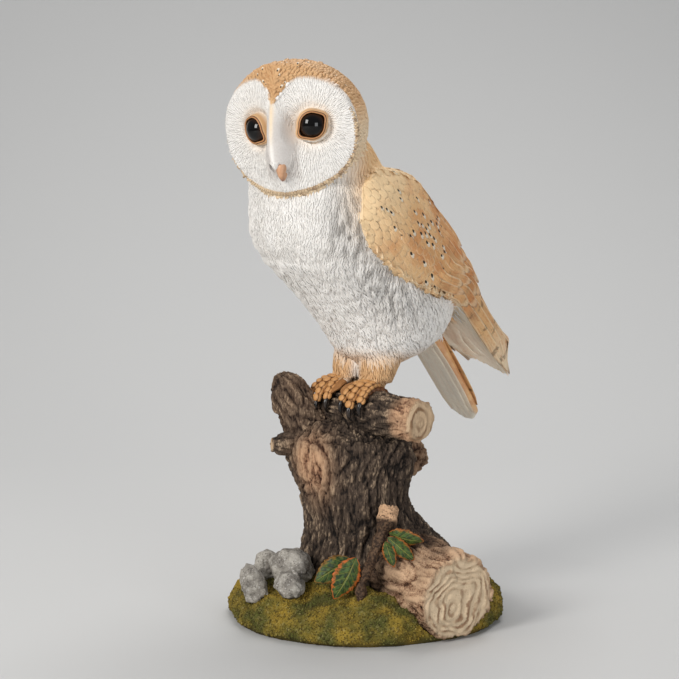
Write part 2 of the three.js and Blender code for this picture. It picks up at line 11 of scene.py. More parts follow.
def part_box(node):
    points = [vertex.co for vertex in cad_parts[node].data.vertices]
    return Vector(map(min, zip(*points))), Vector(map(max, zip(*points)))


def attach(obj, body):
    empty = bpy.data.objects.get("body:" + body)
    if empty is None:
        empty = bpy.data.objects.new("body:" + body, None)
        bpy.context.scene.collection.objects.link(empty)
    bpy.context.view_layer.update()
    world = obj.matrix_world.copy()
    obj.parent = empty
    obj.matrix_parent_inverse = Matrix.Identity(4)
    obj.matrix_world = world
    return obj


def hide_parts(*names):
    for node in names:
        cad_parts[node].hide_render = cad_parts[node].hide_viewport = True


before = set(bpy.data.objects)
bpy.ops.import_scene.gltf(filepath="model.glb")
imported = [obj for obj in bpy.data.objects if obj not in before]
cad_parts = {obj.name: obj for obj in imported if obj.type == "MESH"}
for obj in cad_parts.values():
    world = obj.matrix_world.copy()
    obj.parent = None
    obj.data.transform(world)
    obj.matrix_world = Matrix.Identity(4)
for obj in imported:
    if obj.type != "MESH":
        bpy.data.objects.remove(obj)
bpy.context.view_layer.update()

# ---- Where the statuette is set -----------------------------------------------------------------
# The casting was modelled round its own marks and then centred over its footprint. The two glass-black
# eyes show how far it was moved, and give the head, body and wing frames that its parts are made in.
EYES_MIDDLE = Vector((0, -0.0144, 0.0016))  # in the head's frame
HEAD_MODELLED_AT = Vector((-0.0365, -0.0300, 0.2650))
OWL_AT, OWL_TURN = Vector((-0.008, 0.005, 0)), -48
WING_ROOTS, WING_LEAN = (0, -0.030, 0.250), 36


def turned(degrees, axis):
    return Matrix.Rotation(radians(degrees), 4, axis)


def middle(node):
    low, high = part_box(node)
    return (low + high) / 2


HEAD_TURN = turned(-24, "Z") @ turned(9, "X") @ turned(-3, "Y")
HEAD_AT = (middle("eye_left") + middle("eye_right")) / 2 - HEAD_TURN @ EYES_MIDDLE
HEAD = Matrix.Translation(HEAD_AT) @ HEAD_TURN
CENTRED = HEAD_AT - HEAD_MODELLED_AT
OWL = Matrix.Translation(CENTRED + OWL_AT) @ turned(OWL_TURN, "Z")
LEANING = OWL @ Matrix.Translation(WING_ROOTS) @ turned(WING_LEAN, "X")


def seen_in(matrix, places):
    """Places of the row frame as that frame has them."""
    inverse = np.array(matrix.inverted())
    return places @ inverse[:3, :3].T + inverse[:3, 3]


def pointing(matrix, x, y, z):
    """A direction of that frame, in the row frame."""
    way = np.array(matrix.to_3x3() @ Vector((x, y, z)))
    return way / np.linalg.norm(way)


def placed(matrix, places):
    """Places of that frame, in the row frame."""
    whole = np.array(matrix)
    return np.asarray(places) @ whole[:3, :3].T + whole[:3, 3]


# ---- Table and lights ---------------------------------------------------------------------------
# A plain pale table curves up into a backdrop. The soft lamps are a bright one at the front left, a weaker
# one at the right, one above and one for the backdrop. The view is a little down, from a metre away.
CAMERA_PITCH = radians(8)
CAMERA_DISTANCE = 1.0
CAMERA_LENS, CAMERA_SENSOR = 98.99, 36
AIM = CENTRED + Vector((-0.015, 0, 0.151))
AIR_COLOUR, AIR_STRENGTH = (0.83, 0.86, 0.90, 1), 0.33
TABLE_HALF_WIDTH, TABLE_SHIFT = 4, -2.5
BACKDROP_RISE, BACKDROP_BEND = (0, 0.2, 4), 1.1
TABLE_COLOUR, TABLE_ROUGHNESS = (0.56, 0.555, 0.545, 1), 0.8


def new_object(name, mesh, finish=None):
    """An object of that mesh, and smooth shaded with its finish on it where one is given."""
    made = bpy.data.objects.new(name, mesh)
    bpy.context.scene.collection.objects.link(made)
    if finish:
        mesh.polygons.foreach_set("use_smooth", [True] * len(mesh.polygons))
        mesh.materials.append(finish.material)
    return made


def as_mesh(shape, name):
    """The bmesh written to a new mesh, smooth shaded, and freed."""
    mesh = bpy.data.meshes.new(name)
    shape.to_mesh(mesh)
    shape.free()
    mesh.polygons.foreach_set("use_smooth", [True] * len(mesh.polygons))
    return mesh


camera_data = bpy.data.cameras.new("camera")
camera_data.lens = CAMERA_LENS
camera_data.sensor_width = CAMERA_SENSOR
camera = bpy.data.objects.new("camera", camera_data)
camera.location = AIM + CAMERA_DISTANCE * Vector((0, -cos(CAMERA_PITCH), sin(CAMERA_PITCH)))
camera.rotation_euler = (pi / 2 - CAMERA_PITCH, 0, 0)
bpy.context.scene.collection.objects.link(camera)
bpy.context.scene.camera = camera

LAMPS = [
    # name, place, what it points at, width, height, watts, warmth of the light
    ("key", (-0.80, -0.90, 0.68), AIM, 0.40, 0.55, 11.5, (1.0, 0.985, 0.96)),
    ("fill", (0.60, -1.00, 0.18), AIM, 0.45, 0.60, 4.5, (0.96, 0.98, 1.0)),
    ("top", (0.10, 0.45, 1.10), AIM, 0.80, 0.60, 6.5, (1.0, 1.0, 1.0)),
    ("backdrop", (0.0, 0.35, 1.6), Vector((0, 1.35, 0.5)), 1.6, 0.5, 5.0, (1.0, 1.0, 1.0)),
]
for lamp_name, lamp_place, lamp_aim, lamp_width, lamp_height, watts, warmth in LAMPS:
    lamp_data = bpy.data.lights.new(lamp_name, "AREA")
    lamp_data.shape = "RECTANGLE"
    lamp_data.size, lamp_data.size_y = lamp_width, lamp_height
    lamp_data.energy = watts
    lamp_data.color = warmth
    lamp = bpy.data.objects.new(lamp_name, lamp_data)
    lamp.location = lamp_place
    lamp.rotation_euler = (lamp_aim - lamp.location).to_track_quat("-Z", "Y").to_euler()
    bpy.context.scene.collection.objects.link(lamp)

world = bpy.data.worlds.new("studio")
world.use_nodes = True
world.node_tree.nodes["Background"].inputs["Color"].default_value = AIR_COLOUR
world.node_tree.nodes["Background"].inputs["Strength"].default_value = AIR_STRENGTH
bpy.context.scene.world = world
bpy.context.scene.view_settings.view_transform = "Standard"

table = bmesh.new()
bmesh.ops.create_grid(table, x_segments=1, y_segments=1, size=TABLE_HALF_WIDTH)
bmesh.ops.translate(table, verts=table.verts, vec=(0, TABLE_SHIFT, 0))
back_edge = [edge for edge in table.edges if all(vert.co.y > 0 for vert in edge.verts)]
raised = bmesh.ops.extrude_edge_only(table, edges=back_edge)["geom"]
raised_verts = [vert for vert in raised if isinstance(vert, bmesh.types.BMVert)]
bmesh.ops.translate(table, verts=raised_verts, vec=BACKDROP_RISE)
fold = [edge for edge in table.edges if len(edge.link_faces) == 2]
bmesh.ops.bevel(
    table, geom=fold, offset=BACKDROP_BEND, segments=16, affect="EDGES", profile=0.5, material=-1
)
table_mesh = as_mesh(table, "table")
table_top = new_object("table_top", table_mesh)
table_paint = bpy.data.materials.new("pale_table")
table_paint.use_nodes = True
table_paint.node_tree.nodes["Principled BSDF"].inputs["Base Color"].default_value = TABLE_COLOUR
table_paint.node_tree.nodes["Principled BSDF"].inputs["Roughness"].default_value = TABLE_ROUGHNESS
table_mesh.materials.append(table_paint)


# ---- The owl's cast body ------------------------------------------------------------------------
# The body under the feathers is one resin casting: head, neck, trunk, wings, tail, legs and toes run
# into each other with no joint. It is a smoothed copy of the flesh solids, sunk by the coat's depth.
FLESH = [
    "head", "neck", "trunk", "wing_left", "wing_right", "tail",
    "leg_left", "leg_right", "foot_left", "foot_right",
]
HEAD_PART, NECK_PART, TRUNK_PART, LEFT_WING, RIGHT_WING, TAIL_PART = range(6)
LEG_PARTS, FOOT_PARTS = (6, 7), (8, 9)
SKIN_VOXEL, SKIN_ROUNDS = 0.00105, 26
SEAM_CLOSING = 0.00028  # how far each copy is swelled, so that neighbours meet
SMOOTH_IN, SMOOTH_OUT = 0.5, -0.51  # one way and back again takes facets off and keeps the size


def evaluated(thing):
    """The thing's mesh with its modifiers applied; the thing itself is removed."""
    graph = bpy.context.evaluated_depsgraph_get()
    mesh = bpy.data.meshes.new_from_object(thing.evaluated_get(graph), depsgraph=graph)
    old = thing.data
    bpy.data.objects.remove(thing)
    bpy.data.meshes.remove(old)
    return mesh


def swelled_copy(node, amount):
    """A merged copy of a CAD node's mesh, pushed out along its normals."""
    shape = bmesh.new()
    shape.from_mesh(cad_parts[node].data)
    bmesh.ops.remove_doubles(shape, verts=shape.verts, dist=1e-6)
    shape.normal_update()
    for vert in shape.verts:
        vert.co += vert.normal * amount
    return shape


def fused(name, nodes, voxel, rounds):
    """The nodes as one closed skin with no facets, and a way to tell which node each place is from."""
    corners, faces, owner = [], [], []
    for number, node in enumerate(nodes):
        shape = swelled_copy(node, SEAM_CLOSING)
        start = len(corners)
        corners += [vert.co.copy() for vert in shape.verts]
        faces += [[start + vert.index for vert in face.verts] for face in shape.faces]
        owner += [number] * len(shape.faces)
        shape.free()
    rough = bpy.data.meshes.new(name)
    rough.from_pydata(corners, [], faces)
    thing = new_object(name, rough)
    remesh = thing.modifiers.new("fuse", "REMESH")
    remesh.mode = "VOXEL"
    remesh.voxel_size = voxel
    for factor in (SMOOTH_IN, SMOOTH_OUT):
        smooth = thing.modifiers.new("smooth", "SMOOTH")
        smooth.factor = factor
        smooth.iterations = rounds
    return evaluated(thing), BVHTree.FromPolygons(corners, faces), np.array(owner)


def rows_of(collection, field, width=3):
    found = np.empty(len(collection) * width, np.float32)
    collection.foreach_get(field, found)
    return found.reshape(-1, width).astype(float)


def move_points(mesh, places):
    mesh.vertices.foreach_set("co", places.astype(np.float32).ravel())


def nearest(tree, places):
    """The nearest place on a surface to each place, the way out of it there and the face's number."""
    found = [tree.find_nearest(place) for place in places.tolist()]
    return tuple(np.array([hit[part] for hit in found]) for part in range(3))


def ease(low, high, value):
    """0 below low, 1 above high and smooth between."""
    share = np.clip((value - low) / (high - low), 0, 1)
    return share * share * (3 - 2 * share)


skin_mesh, solid_tree, solid_owner = fused("owl_skin", FLESH, SKIN_VOXEL, SKIN_ROUNDS)
skin_places = rows_of(skin_mesh.vertices, "co")
skin_outs = rows_of(skin_mesh.vertices, "normal")
skin_part = solid_owner[nearest(solid_tree, skin_places)[2]]

FACE_HALF_WIDTH, FACE_TOP, FACE_BOTTOM = 0.0375, 0.031, 0.0282
FACE_TOP_POWER, FACE_BOTTOM_POWER = 2.5, 2.15  # 2 would be round, and more is squarer
FACE_NOTCH, FACE_NOTCH_SPREAD, FACE_MIDDLE = 0.013, 0.21, -0.002
DISH_DEPTH, DISH_SLOPE, DISH_TOP_CURVE, DISH_BOTTOM_CURVE = -0.025, 0.4, 4.5, 1.0


def face_edge(x, z):
    """How far the heart-shaped face's edge is from its middle, in the direction of x and z."""
    reach = np.hypot(x, z) + 1e-9
    height = np.where(z > 0, FACE_TOP, FACE_BOTTOM)
    power = np.where(z > 0, FACE_TOP_POWER, FACE_BOTTOM_POWER)
    across = np.abs(x / reach / FACE_HALF_WIDTH) ** power
    edge = (across + np.abs(z / reach / height) ** power) ** (-1 / power)
    off_notch = (np.arctan2(z, x) - pi / 2) / FACE_NOTCH_SPREAD
    return edge - FACE_NOTCH * np.exp(-(off_notch**2))


def face_share(places):
    """How far out a place is on the face: 0 at its middle, 1 at its edge."""
    x, _, z = seen_in(HEAD, places).T
    z = z - FACE_MIDDLE
    return (np.hypot(x, z) + 1e-9) / face_edge(x, z)


def dish(x, z):
    """How far forward the dished face lies at x and z, in the head's frame."""
    return DISH_DEPTH + DISH_SLOPE * np.abs(x) + np.where(z > 0, DISH_TOP_CURVE, DISH_BOTTOM_CURVE) * z * z


def on_front(places):
    """1 on the dished front of the head, 0 behind the face's rim."""
    x, y, z = seen_in(HEAD, places).T
    return ease(0.0060, 0.0035, y - dish(x, z))


def wing_outside(places, outs):
    """1 on the outer face of a wing, 0 on the side towards the body and tail."""
    side = np.sign(seen_in(LEANING, places)[:, 0])
    ways = outs @ np.array(LEANING.to_3x3())
    facing = 0.95 * side * ways[:, 0] + 0.50 * ways[:, 1]
    return ease(-0.22, 0.05, facing)


EYE_PLACES = {1: (0.0154, -0.0146, 0.0034), -1: (-0.0131, -0.0150, 0.0023)}  # by side, in the head's frame
EYE_LOOKS = Vector((0.42, -0.90, 0.04)).normalized()  # the left eye's way of looking, in the head's frame
FACE_COAT, HEAD_COAT, BODY_COAT, WING_COAT, LEG_COAT, BARE = 0.0004, 0.0009, 0.0012, 0.0008, 0.0006, 0.0002
on_face = on_front(skin_places) * ease(1.04, 0.97, face_share(skin_places))
coat_depth = np.select(
    [skin_part == HEAD_PART, skin_part <= TRUNK_PART, skin_part <= RIGHT_WING, skin_part == TAIL_PART],
    [
        HEAD_COAT + (FACE_COAT - HEAD_COAT) * on_face,
        np.full(len(skin_part), BODY_COAT),
        BARE + (WING_COAT - BARE) * wing_outside(skin_places, skin_outs),
        np.full(len(skin_part), BARE * 2),
    ],
    LEG_COAT,
)
skin_places = skin_places - skin_outs * coat_depth[:, None]

# Under the breast and belly the casting swells in overlapping clumps of feathers, bigger lower down.
MOST_CLUMPS, CLUMP_SPACING = 400, 0.0070
CLUMP_LENGTH, CLUMP_WIDTH, CLUMP_EDGE, CLUMP_SOFT = 0.0086, 0.0060, 1.05, 0.45
CLUMP_RISE, CLUMP_EXTRA_RISE, CLUMP_SUNK = 0.0005, 0.0013, 0.0006
BODY_DOWN = pointing(OWL, 0, 0.25, -1)
on_trunk = np.flatnonzero((skin_part == TRUNK_PART) | (skin_part == NECK_PART))
clump_places = []
for number in np.random.default_rng(5).permutation(on_trunk):
    place = Vector(skin_places[number])
    if all((place - other).length > CLUMP_SPACING for other in clump_places):
        clump_places.append(place)
    if len(clump_places) == MOST_CLUMPS:
        break
clump_tree = KDTree(len(clump_places))
for number, place in enumerate(clump_places):
    clump_tree.insert(place, number)
clump_tree.balance()
clump = np.zeros(len(skin_places))
for number in on_trunk.tolist():
    here = skin_places[number]
    across_way = np.cross(skin_outs[number], BODY_DOWN)
    for centre, _, _ in clump_tree.find_n(Vector(here), 5):
        gap = here - np.array(centre)
        down, across = gap @ BODY_DOWN / CLUMP_LENGTH, gap @ across_way / CLUMP_WIDTH
        reach = (down * down + across * across) ** 0.5
        swell = (0.5 + 0.5 * down) * min(1.0, max(0.0, (CLUMP_EDGE - reach) / CLUMP_SOFT))
        clump[number] = max(clump[number], swell)
clump *= CLUMP_RISE + CLUMP_EXTRA_RISE * ease(0.245, 0.195, skin_places[:, 2])
skin_places = skin_places + skin_outs * (clump - CLUMP_SUNK)[:, None]

# The bridge between the eyes is a sharp wedge that runs down into the beak, with a flat flank each side.
BRIDGE_HEIGHT = [-0.029, -0.024, -0.018, -0.012, -0.006, 0.000, 0.008, 0.016, 0.022]
BRIDGE_CREST = [-0.0240, -0.0262, -0.0304, -0.0324, -0.0328, -0.0318, -0.0294, -0.0268, -0.0240]
BRIDGE_SPREAD = [0.0030, 0.0040, 0.0056, 0.0084, 0.0086, 0.0078, 0.0062, 0.0042, 0.0026]
on_head = skin_part == HEAD_PART
in_head = seen_in(HEAD, skin_places)
off_middle, height = np.abs(in_head[:, 0]), in_head[:, 2]
crest_at = np.interp(height, BRIDGE_HEIGHT, BRIDGE_CREST)
flank = off_middle / np.interp(height, BRIDGE_HEIGHT, BRIDGE_SPREAD)
by_beak = on_head & (height < -0.008) & (height > -0.026) & (in_head[:, 1] < -0.012)
beside_beak = by_beak & (off_middle > 0.0085) & (off_middle < 0.011)
disc_at = dish(in_head[:, 0], height)
disc_at = disc_at + np.median((in_head[:, 1] - disc_at)[beside_beak])
hollow = by_beak & (off_middle < 0.008)
in_head[hollow, 1] = np.minimum(in_head[hollow, 1], disc_at[hollow])

# Round the beak's root the skin is drawn smooth, and then the wedge stands up from it.
BEAK_ROOT_ROUNDS = 14
skin_edges = rows_of(skin_mesh.edges, "vertices", 2).astype(int)
near_beak = by_beak & (off_middle < 0.0095)
edges_near = skin_edges[near_beak[skin_edges].any(1)]
edge_count = np.bincount(edges_near.ravel(), minlength=len(in_head))[:, None].clip(1)
for _ in range(BEAK_ROOT_ROUNDS):
    total = np.zeros_like(in_head)
    np.add.at(total, edges_near[:, 0], in_head[edges_near[:, 1]])
    np.add.at(total, edges_near[:, 1], in_head[edges_near[:, 0]])
    in_head[near_beak] = (0.5 * in_head + 0.5 * total / edge_count)[near_beak]
wedge = (1 - flank.clip(0, 1) ** 1.1) * ease(-0.010, -0.014, in_head[:, 1]) * on_head
wedge *= ease(0.024, 0.016, in_head[:, 2]) * ease(-0.0200, -0.0150, in_head[:, 2])
in_head[:, 1] = np.minimum(in_head[:, 1], in_head[:, 1] * (1 - wedge) + crest_at * wedge)

# The face swells up to meet the rim of each eye.
RIM_STAND, SOCKET_DEPTH = 0.0004, 0.0034
for side, (eye_x, eye_y, eye_z) in EYE_PLACES.items():
    off_x, off_z = in_head[:, 0] - eye_x, in_head[:, 2] - eye_z
    off_eye = np.hypot(off_x, off_z)
    stand = RIM_STAND - SOCKET_DEPTH * ease(0.0077, 0.0062, off_eye)
    level = eye_y + (stand - EYE_LOOKS.x * side * off_x - EYE_LOOKS.z * off_z) / EYE_LOOKS.y
    meet = ease(0.0125, 0.0083, off_eye) * on_head * ease(0.0, -0.004, in_head[:, 1])
    meet = meet * ease(0.0030, 0.0066, np.abs(in_head[:, 0]))
    in_head[:, 1] += (level - in_head[:, 1]) * meet
skin_places = placed(HEAD, in_head)

# The legs are drawn together, so that they meet in a strip.
LEGS_DRAWN = 0.92
in_owl = seen_in(OWL, skin_places)
draw_in = ease(0.0125, 0.0055, np.abs(in_owl[:, 0])) * ease(0.112, 0.118, in_owl[:, 2])
draw_in *= np.where(skin_part >= FOOT_PARTS[0], ease(0.120, 0.125, in_owl[:, 2]), skin_part >= LEG_PARTS[0])
in_owl[:, 0] *= 1 - LEGS_DRAWN * draw_in
skin_places = placed(OWL, in_owl)
move_points(skin_mesh, skin_places)
skin_mesh.update()
skin_outs = rows_of(skin_mesh.vertices, "normal")
skin = new_object("owl_skin", skin_mesh)
skin_faces = [tuple(face.vertices) for face in skin_mesh.polygons]
skin_tree = BVHTree.FromPolygons(skin_places.tolist(), skin_faces)
face_corners = np.array([f if len(f) == 4 else (*f, f[-1]) for f in skin_faces])
face_part = skin_part[face_corners[:, 0]]


# ---- The painter's colours on the owl -----------------------------------------------------------
# The casting is painted white, then golden on crown, back and wings and tan on the legs, with thin
# washes of grey and orange-brown, and painted shade in grey under the wings' edges and beside the bridge.
# The same colours go on the body and on every feather over it.
def paint(red, green, blue):
    """A colour mixed as a painter reads it, from 0 to 255, as the shader wants it."""
    share = np.array([red, green, blue]) / 255
    return np.where(share < 0.04045, share / 12.92, ((share + 0.055) / 1.055) ** 2.4)


WHITE, SHADOW_WHITE = paint(246, 243, 239), paint(222, 215, 206)
GOLD, PALE_GOLD, ORANGE_WASH = paint(224, 170, 110), paint(242, 210, 164), paint(204, 130, 70)
CROWN, CHEEK, FLANK_SHADE_GREY = paint(200, 153, 105), paint(243, 228, 200), paint(204, 196, 190)
GREY_WASH_AND_SHADE, CREAM = paint(84, 76, 68), paint(250, 240, 222)
LEG_TAN, FOOT_ORANGE, FOOT_SHADE = paint(218, 174, 122), paint(190, 134, 80), paint(150, 104, 62)
WING_SHADE_PATCHES = [
    # painted shade beside each wing, under its front edge, in the owl's frame: x, y, z, how wide, how strong
    (0.034, -0.036, 0.224, 0.010, 0.50),
    (0.036, -0.035, 0.208, 0.012, 0.78),
    (0.036, -0.020, 0.190, 0.011, 0.55),
    (0.034, -0.006, 0.177, 0.012, 0.60),
    (0.036, 0.008, 0.168, 0.011, 0.40),
]


def blend(first, second, share):
    return first + (second - first) * np.asarray(share)[..., None]


def cloud(places, size, seed):
    """Slow patches of light and dark, from 0 to 1."""
    shift = Vector((seed, 2.7 * seed, -1.3 * seed))
    return np.array([0.5 + 0.5 * noise.noise(Vector(p) / size + shift) for p in places.tolist()])


def blot(places, centre, size):
    """1 at the centre of a soft round patch, 0 well outside it."""
    return np.exp(-(((places - np.array(centre)) ** 2).sum(1)) / size**2)


def plumage(places, outs, part):
    """The painted colour at each place of a part of the owl."""
    head, owl, lean = seen_in(HEAD, places), seen_in(OWL, places), seen_in(LEANING, places)
    off_middle, height, down = np.abs(head[:, 0]), head[:, 2], -lean[:, 2]
    patch = cloud(places, 0.012, 3)
    white = blend(WHITE, SHADOW_WHITE, 0.35 * cloud(places, 0.010, 8))
    streaks = ease(0.40, 0.62, cloud(places * (1, 1, 0.3), 0.0025, 14))
    # head: white face, golden edge, crown and nape, with painted shade in grey on the bridge's flanks
    beyond = ease(0.965, 1.03, face_share(places)) + 1 - on_front(places)
    crown = blend(CROWN, PALE_GOLD, 0.04 + 0.26 * patch)
    crown = blend(GOLD, crown, ease(0.0, 0.016, height))
    crown = blend(crown, CHEEK, 0.75 * ease(0.016, -0.006, height) * ease(1.32, 1.02, face_share(places)))
    crest = np.exp(-((head[:, 0] / 0.0013) ** 2)) * ease(-0.016, 0.010, height) * 0.7
    crest = crest * ease(0.022, 0.012, height) * ease(-0.012, 0.004, height)
    on_head = blend(white, crown, np.clip(beyond, 0, 1))
    on_head = blend(on_head, PALE_GOLD, crest)
    # painted shade: pale grey on the flat flanks beside the bridge, so that its crest stands out
    flank = ease(0.0004, 0.0014, off_middle) * ease(0.0102, 0.0080, off_middle)
    flank *= ease(0.016, 0.004, height) * ease(-0.026, -0.020, height) * on_front(places)
    on_head = blend(on_head, FLANK_SHADE_GREY, 0.65 * flank)
    for eye in EYE_PLACES.values():
        on_head = blend(on_head, PALE_GOLD, 0.35 * blot(head, eye, 0.0098))
    # neck and trunk: white in front, golden behind, a grey wash and painted shade under the wings' edges
    behind = ease(-0.018, 0.014, owl[:, 1] + 0.028 + 0.30 * np.abs(owl[:, 0]) - 0.010)
    nape = blend(PALE_GOLD, GOLD, 0.6 * patch)
    upper = ease(0.200, 0.232, places[:, 2])
    upper = np.maximum(upper, ease(0.008, 0.018, owl[:, 1]) * ease(0.180, 0.195, places[:, 2]))
    on_trunk = blend(white, nape, behind * upper)
    # painted shade: grey blots on the flanks where each wing's front edge hangs over them
    for side in (1, -1):
        for x, y, z, size, share in WING_SHADE_PATCHES:
            under = blot(owl, (side * x, y, z), size)
            on_trunk = blend(on_trunk, GREY_WASH_AND_SHADE, share * under * (0.25 + 0.75 * streaks))
    on_trunk = blend(on_trunk, LEG_TAN, 0.6 * ease(0.148, 0.138, places[:, 2]))
    # wings: golden outside with a paler front edge, cream underneath
    wash = ease(0.45, 0.72, cloud(places, 0.009, 21)) * ease(0.012, 0.060, down)
    on_wing = blend(PALE_GOLD, GOLD, ease(0.020, 0.055, down) * (0.35 + 0.65 * patch))
    on_wing = blend(on_wing, ORANGE_WASH, 0.62 * wash)
    front = ease(0.012, -0.004, lean[:, 1] + 0.024 - 0.42 * np.clip(down - 0.045, 0, 1))
    on_wing = blend(on_wing, PALE_GOLD, 0.75 * front)
    grey = ease(0.55, 0.8, cloud(places, 0.007, 33)) * ease(0.05, 0.1, down)
    on_wing = blend(on_wing, GREY_WASH_AND_SHADE, 0.30 * grey)
    on_wing = blend(on_wing, CREAM, 0.5 * ease(0.150, 0.185, down))
    behind = ease(0.004, 0.022, lean[:, 1] + 0.024 - 0.42 * (down - 0.045))
    rusty = (0.35 + 0.65 * streaks) * behind * ease(0.055, 0.078, down) * ease(0.165, 0.135, down)
    on_wing = blend(on_wing, ORANGE_WASH, 0.55 * rusty)
    under_wing = blend(CREAM, PALE_GOLD, 0.8 * ease(0.130, 0.100, down))
    on_wing = blend(under_wing, on_wing, wing_outside(places, outs))
    # tail: cream below, dappled orange-brown at its edges and above
    above = ease(-0.1, 0.5, (outs @ np.array(LEANING.to_3x3()))[:, 1])
    edge = ease(0.0072, 0.0108, np.abs(lean[:, 0]))
    dapple = blend(GOLD, ORANGE_WASH, ease(0.35, 0.65, cloud(places, 0.004, 5)))
    under_tail, upper_tail = blend(CREAM, SHADOW_WHITE, 0.3 * patch), blend(PALE_GOLD, dapple, 0.75)
    on_tail = blend(under_tail, upper_tail, np.clip(above + 0.9 * edge, 0, 1))
    # legs tan, feet orange
    on_leg = blend(LEG_TAN, WHITE, 0.75 * ease(0.134, 0.152, places[:, 2]) + 0.12 * patch)
    pale_strip = np.exp(-((owl[:, 0] / 0.0035) ** 2)) * ease(0.012, 0.006, owl[:, 1])
    on_leg = blend(on_leg, WHITE, 0.8 * pale_strip)
    on_foot = blend(FOOT_SHADE, FOOT_ORANGE, 0.4 * patch)
    shades = (on_head, on_trunk, on_trunk, on_wing, on_wing, on_tail, on_leg, on_leg, on_foot, on_foot)
    result = np.zeros((len(places), 3))
    for number, shade in enumerate(shades):
        result[part == number] = shade[part == number]
    return result


def opaque(colours):
    return np.concatenate([colours, np.ones((len(colours), 1))], 1).astype(np.float32).ravel()


def write_values(mesh, name, values):
    """A number or a colour for each point of a mesh, for its material to read."""
    if values.ndim == 1:
        mesh.attributes.new(name, "FLOAT", "POINT").data.foreach_set("value", values.astype(np.float32))
    else:
        mesh.attributes.new(name, "FLOAT_COLOR", "POINT").data.foreach_set("color", opaque(values))


class Wire:
    """A shader socket that does sums: an expression on it adds the Math nodes that work it out."""

    def __init__(self, tree, socket):
        self.tree, self.socket = tree, socket

    def node(self, kind, settings=None, inputs=None, output=0):
        """A node of that kind, with its settings made first and its sockets then filled or linked."""
        made = self.tree.nodes.new("ShaderNode" + kind)
        for name, value in (settings or {}).items():
            setattr(made, name, value)
        for name, value in (inputs or {}).items():
            if isinstance(value, Wire):
                self.tree.links.new(value.socket, made.inputs[name])
            else:
                made.inputs[name].default_value = value
        return Wire(self.tree, made.outputs[output])

    def sum(self, operation, *values):
        return self.node("Math", {"operation": operation}, dict(enumerate(values)))

    def __add__(self, other):
        return self.sum("ADD", self, other)

    def __radd__(self, other):
        return self.sum("ADD", other, self)

    def __mul__(self, other):
        return self.sum("MULTIPLY", self, other)

    def __rmul__(self, other):
        return self.sum("MULTIPLY", other, self)

    def __sub__(self, other):
        return self.sum("SUBTRACT", self, other)

    def __rsub__(self, other):
        return self.sum("SUBTRACT", other, self)

    def __abs__(self):
        return self.sum("ABSOLUTE", self)

    def squared(self):
        return self * self

    def wave(self):
        """A sine wave of this angle, from 0 to 1."""
        return self.sum("SINE", self) * 0.5 + 0.5

    def step(self, low, high):
        """0 below low and 1 above high."""
        return self.node("MapRange", {"interpolation_type": "SMOOTHSTEP"}, {0: self, 1: low, 2: high})

    def tint(self, first, second, way="MIX"):
        """The first colour where this is 0 and the second where it is 1."""
        ends = [c if isinstance(c, Wire) else (*c, 1) for c in (first, second)]
        settings = {"data_type": "RGBA", "blend_type": way}
        return self.node("Mix", settings, {0: self, 6: ends[0], 7: ends[1]}, 2)

    def over(self, colour, other):
        """Another colour multiplied into one by this share."""
        return self.tint(colour, other, "MULTIPLY")

    def parts(self):
        """The first two numbers of a vector."""
        return (self.node("SeparateXYZ", {}, {0: self}, part) for part in (0, 1))


class Finish:
    """A material with one shader on it, and the wires that its patterns start from."""

    def __init__(self, name, **constants):
        self.material = bpy.data.materials.new(name)
        self.material.use_nodes = True
        self.tree = self.material.node_tree
        self.shader = self.tree.nodes["Principled BSDF"]
        for socket, value in constants.items():
            self.shader.inputs[socket.replace("_", " ")].default_value = value
        self.start = Wire(self.tree, None)

    def value(self, name, output="Fac"):
        """What the mesh holds under that name for each of its points."""
        return self.start.node("Attribute", {"attribute_name": name}, output=output)

    def grain(self, size, detail=2.0, stretch=None):
        """Even noise of that size in metres, drawn out along an axis by a stretch."""
        where = self.start.node("TexCoord", output="Object")
        if stretch:
            where = where.node("Mapping", {}, {"Vector": where, "Scale": stretch})
        return where.node("TexNoise", {}, {"Vector": where, "Scale": 1 / size, "Detail": detail})

    def set(self, **links):
        for socket, wire in links.items():
            self.tree.links.new(wire.socket, self.shader.inputs[socket.replace("_", " ")])

    def relief(self, height, depth):
        """Fine relief in the paint: height runs from 0 to 1, and depth is in metres."""
        self.set(Normal=self.start.node("Bump", {}, {"Height": height, "Distance": depth}))


plumage_finish = Finish("plumage_paint", Roughness=0.62, Specular_IOR_Level=0.35)
GROOVE_WASH_AND_SHADE_BROWN, SPECKLE_GREY, STREAK_ORANGE = paint(150, 132, 112), paint(228, 220, 210), paint(214, 150, 92)
HEM_CREAM, EDGE_SHADOW_BROWN, BAR_BROWN = paint(248, 226, 188), paint(150, 96, 56), paint(92, 68, 46)
DROP_CREAM, DOT_BLACK = paint(236, 224, 204), paint(26, 20, 16)
speckle, worn = plumage_finish.grain(0.0009, 3.0), plumage_finish.grain(0.0035, 2.0)
barbed = plumage_finish.value("barbs")
vane_along, vane_across = plumage_finish.start.node("UVMap", {"uv_map": "vane"}).parts()
off_shaft = abs(vane_across)
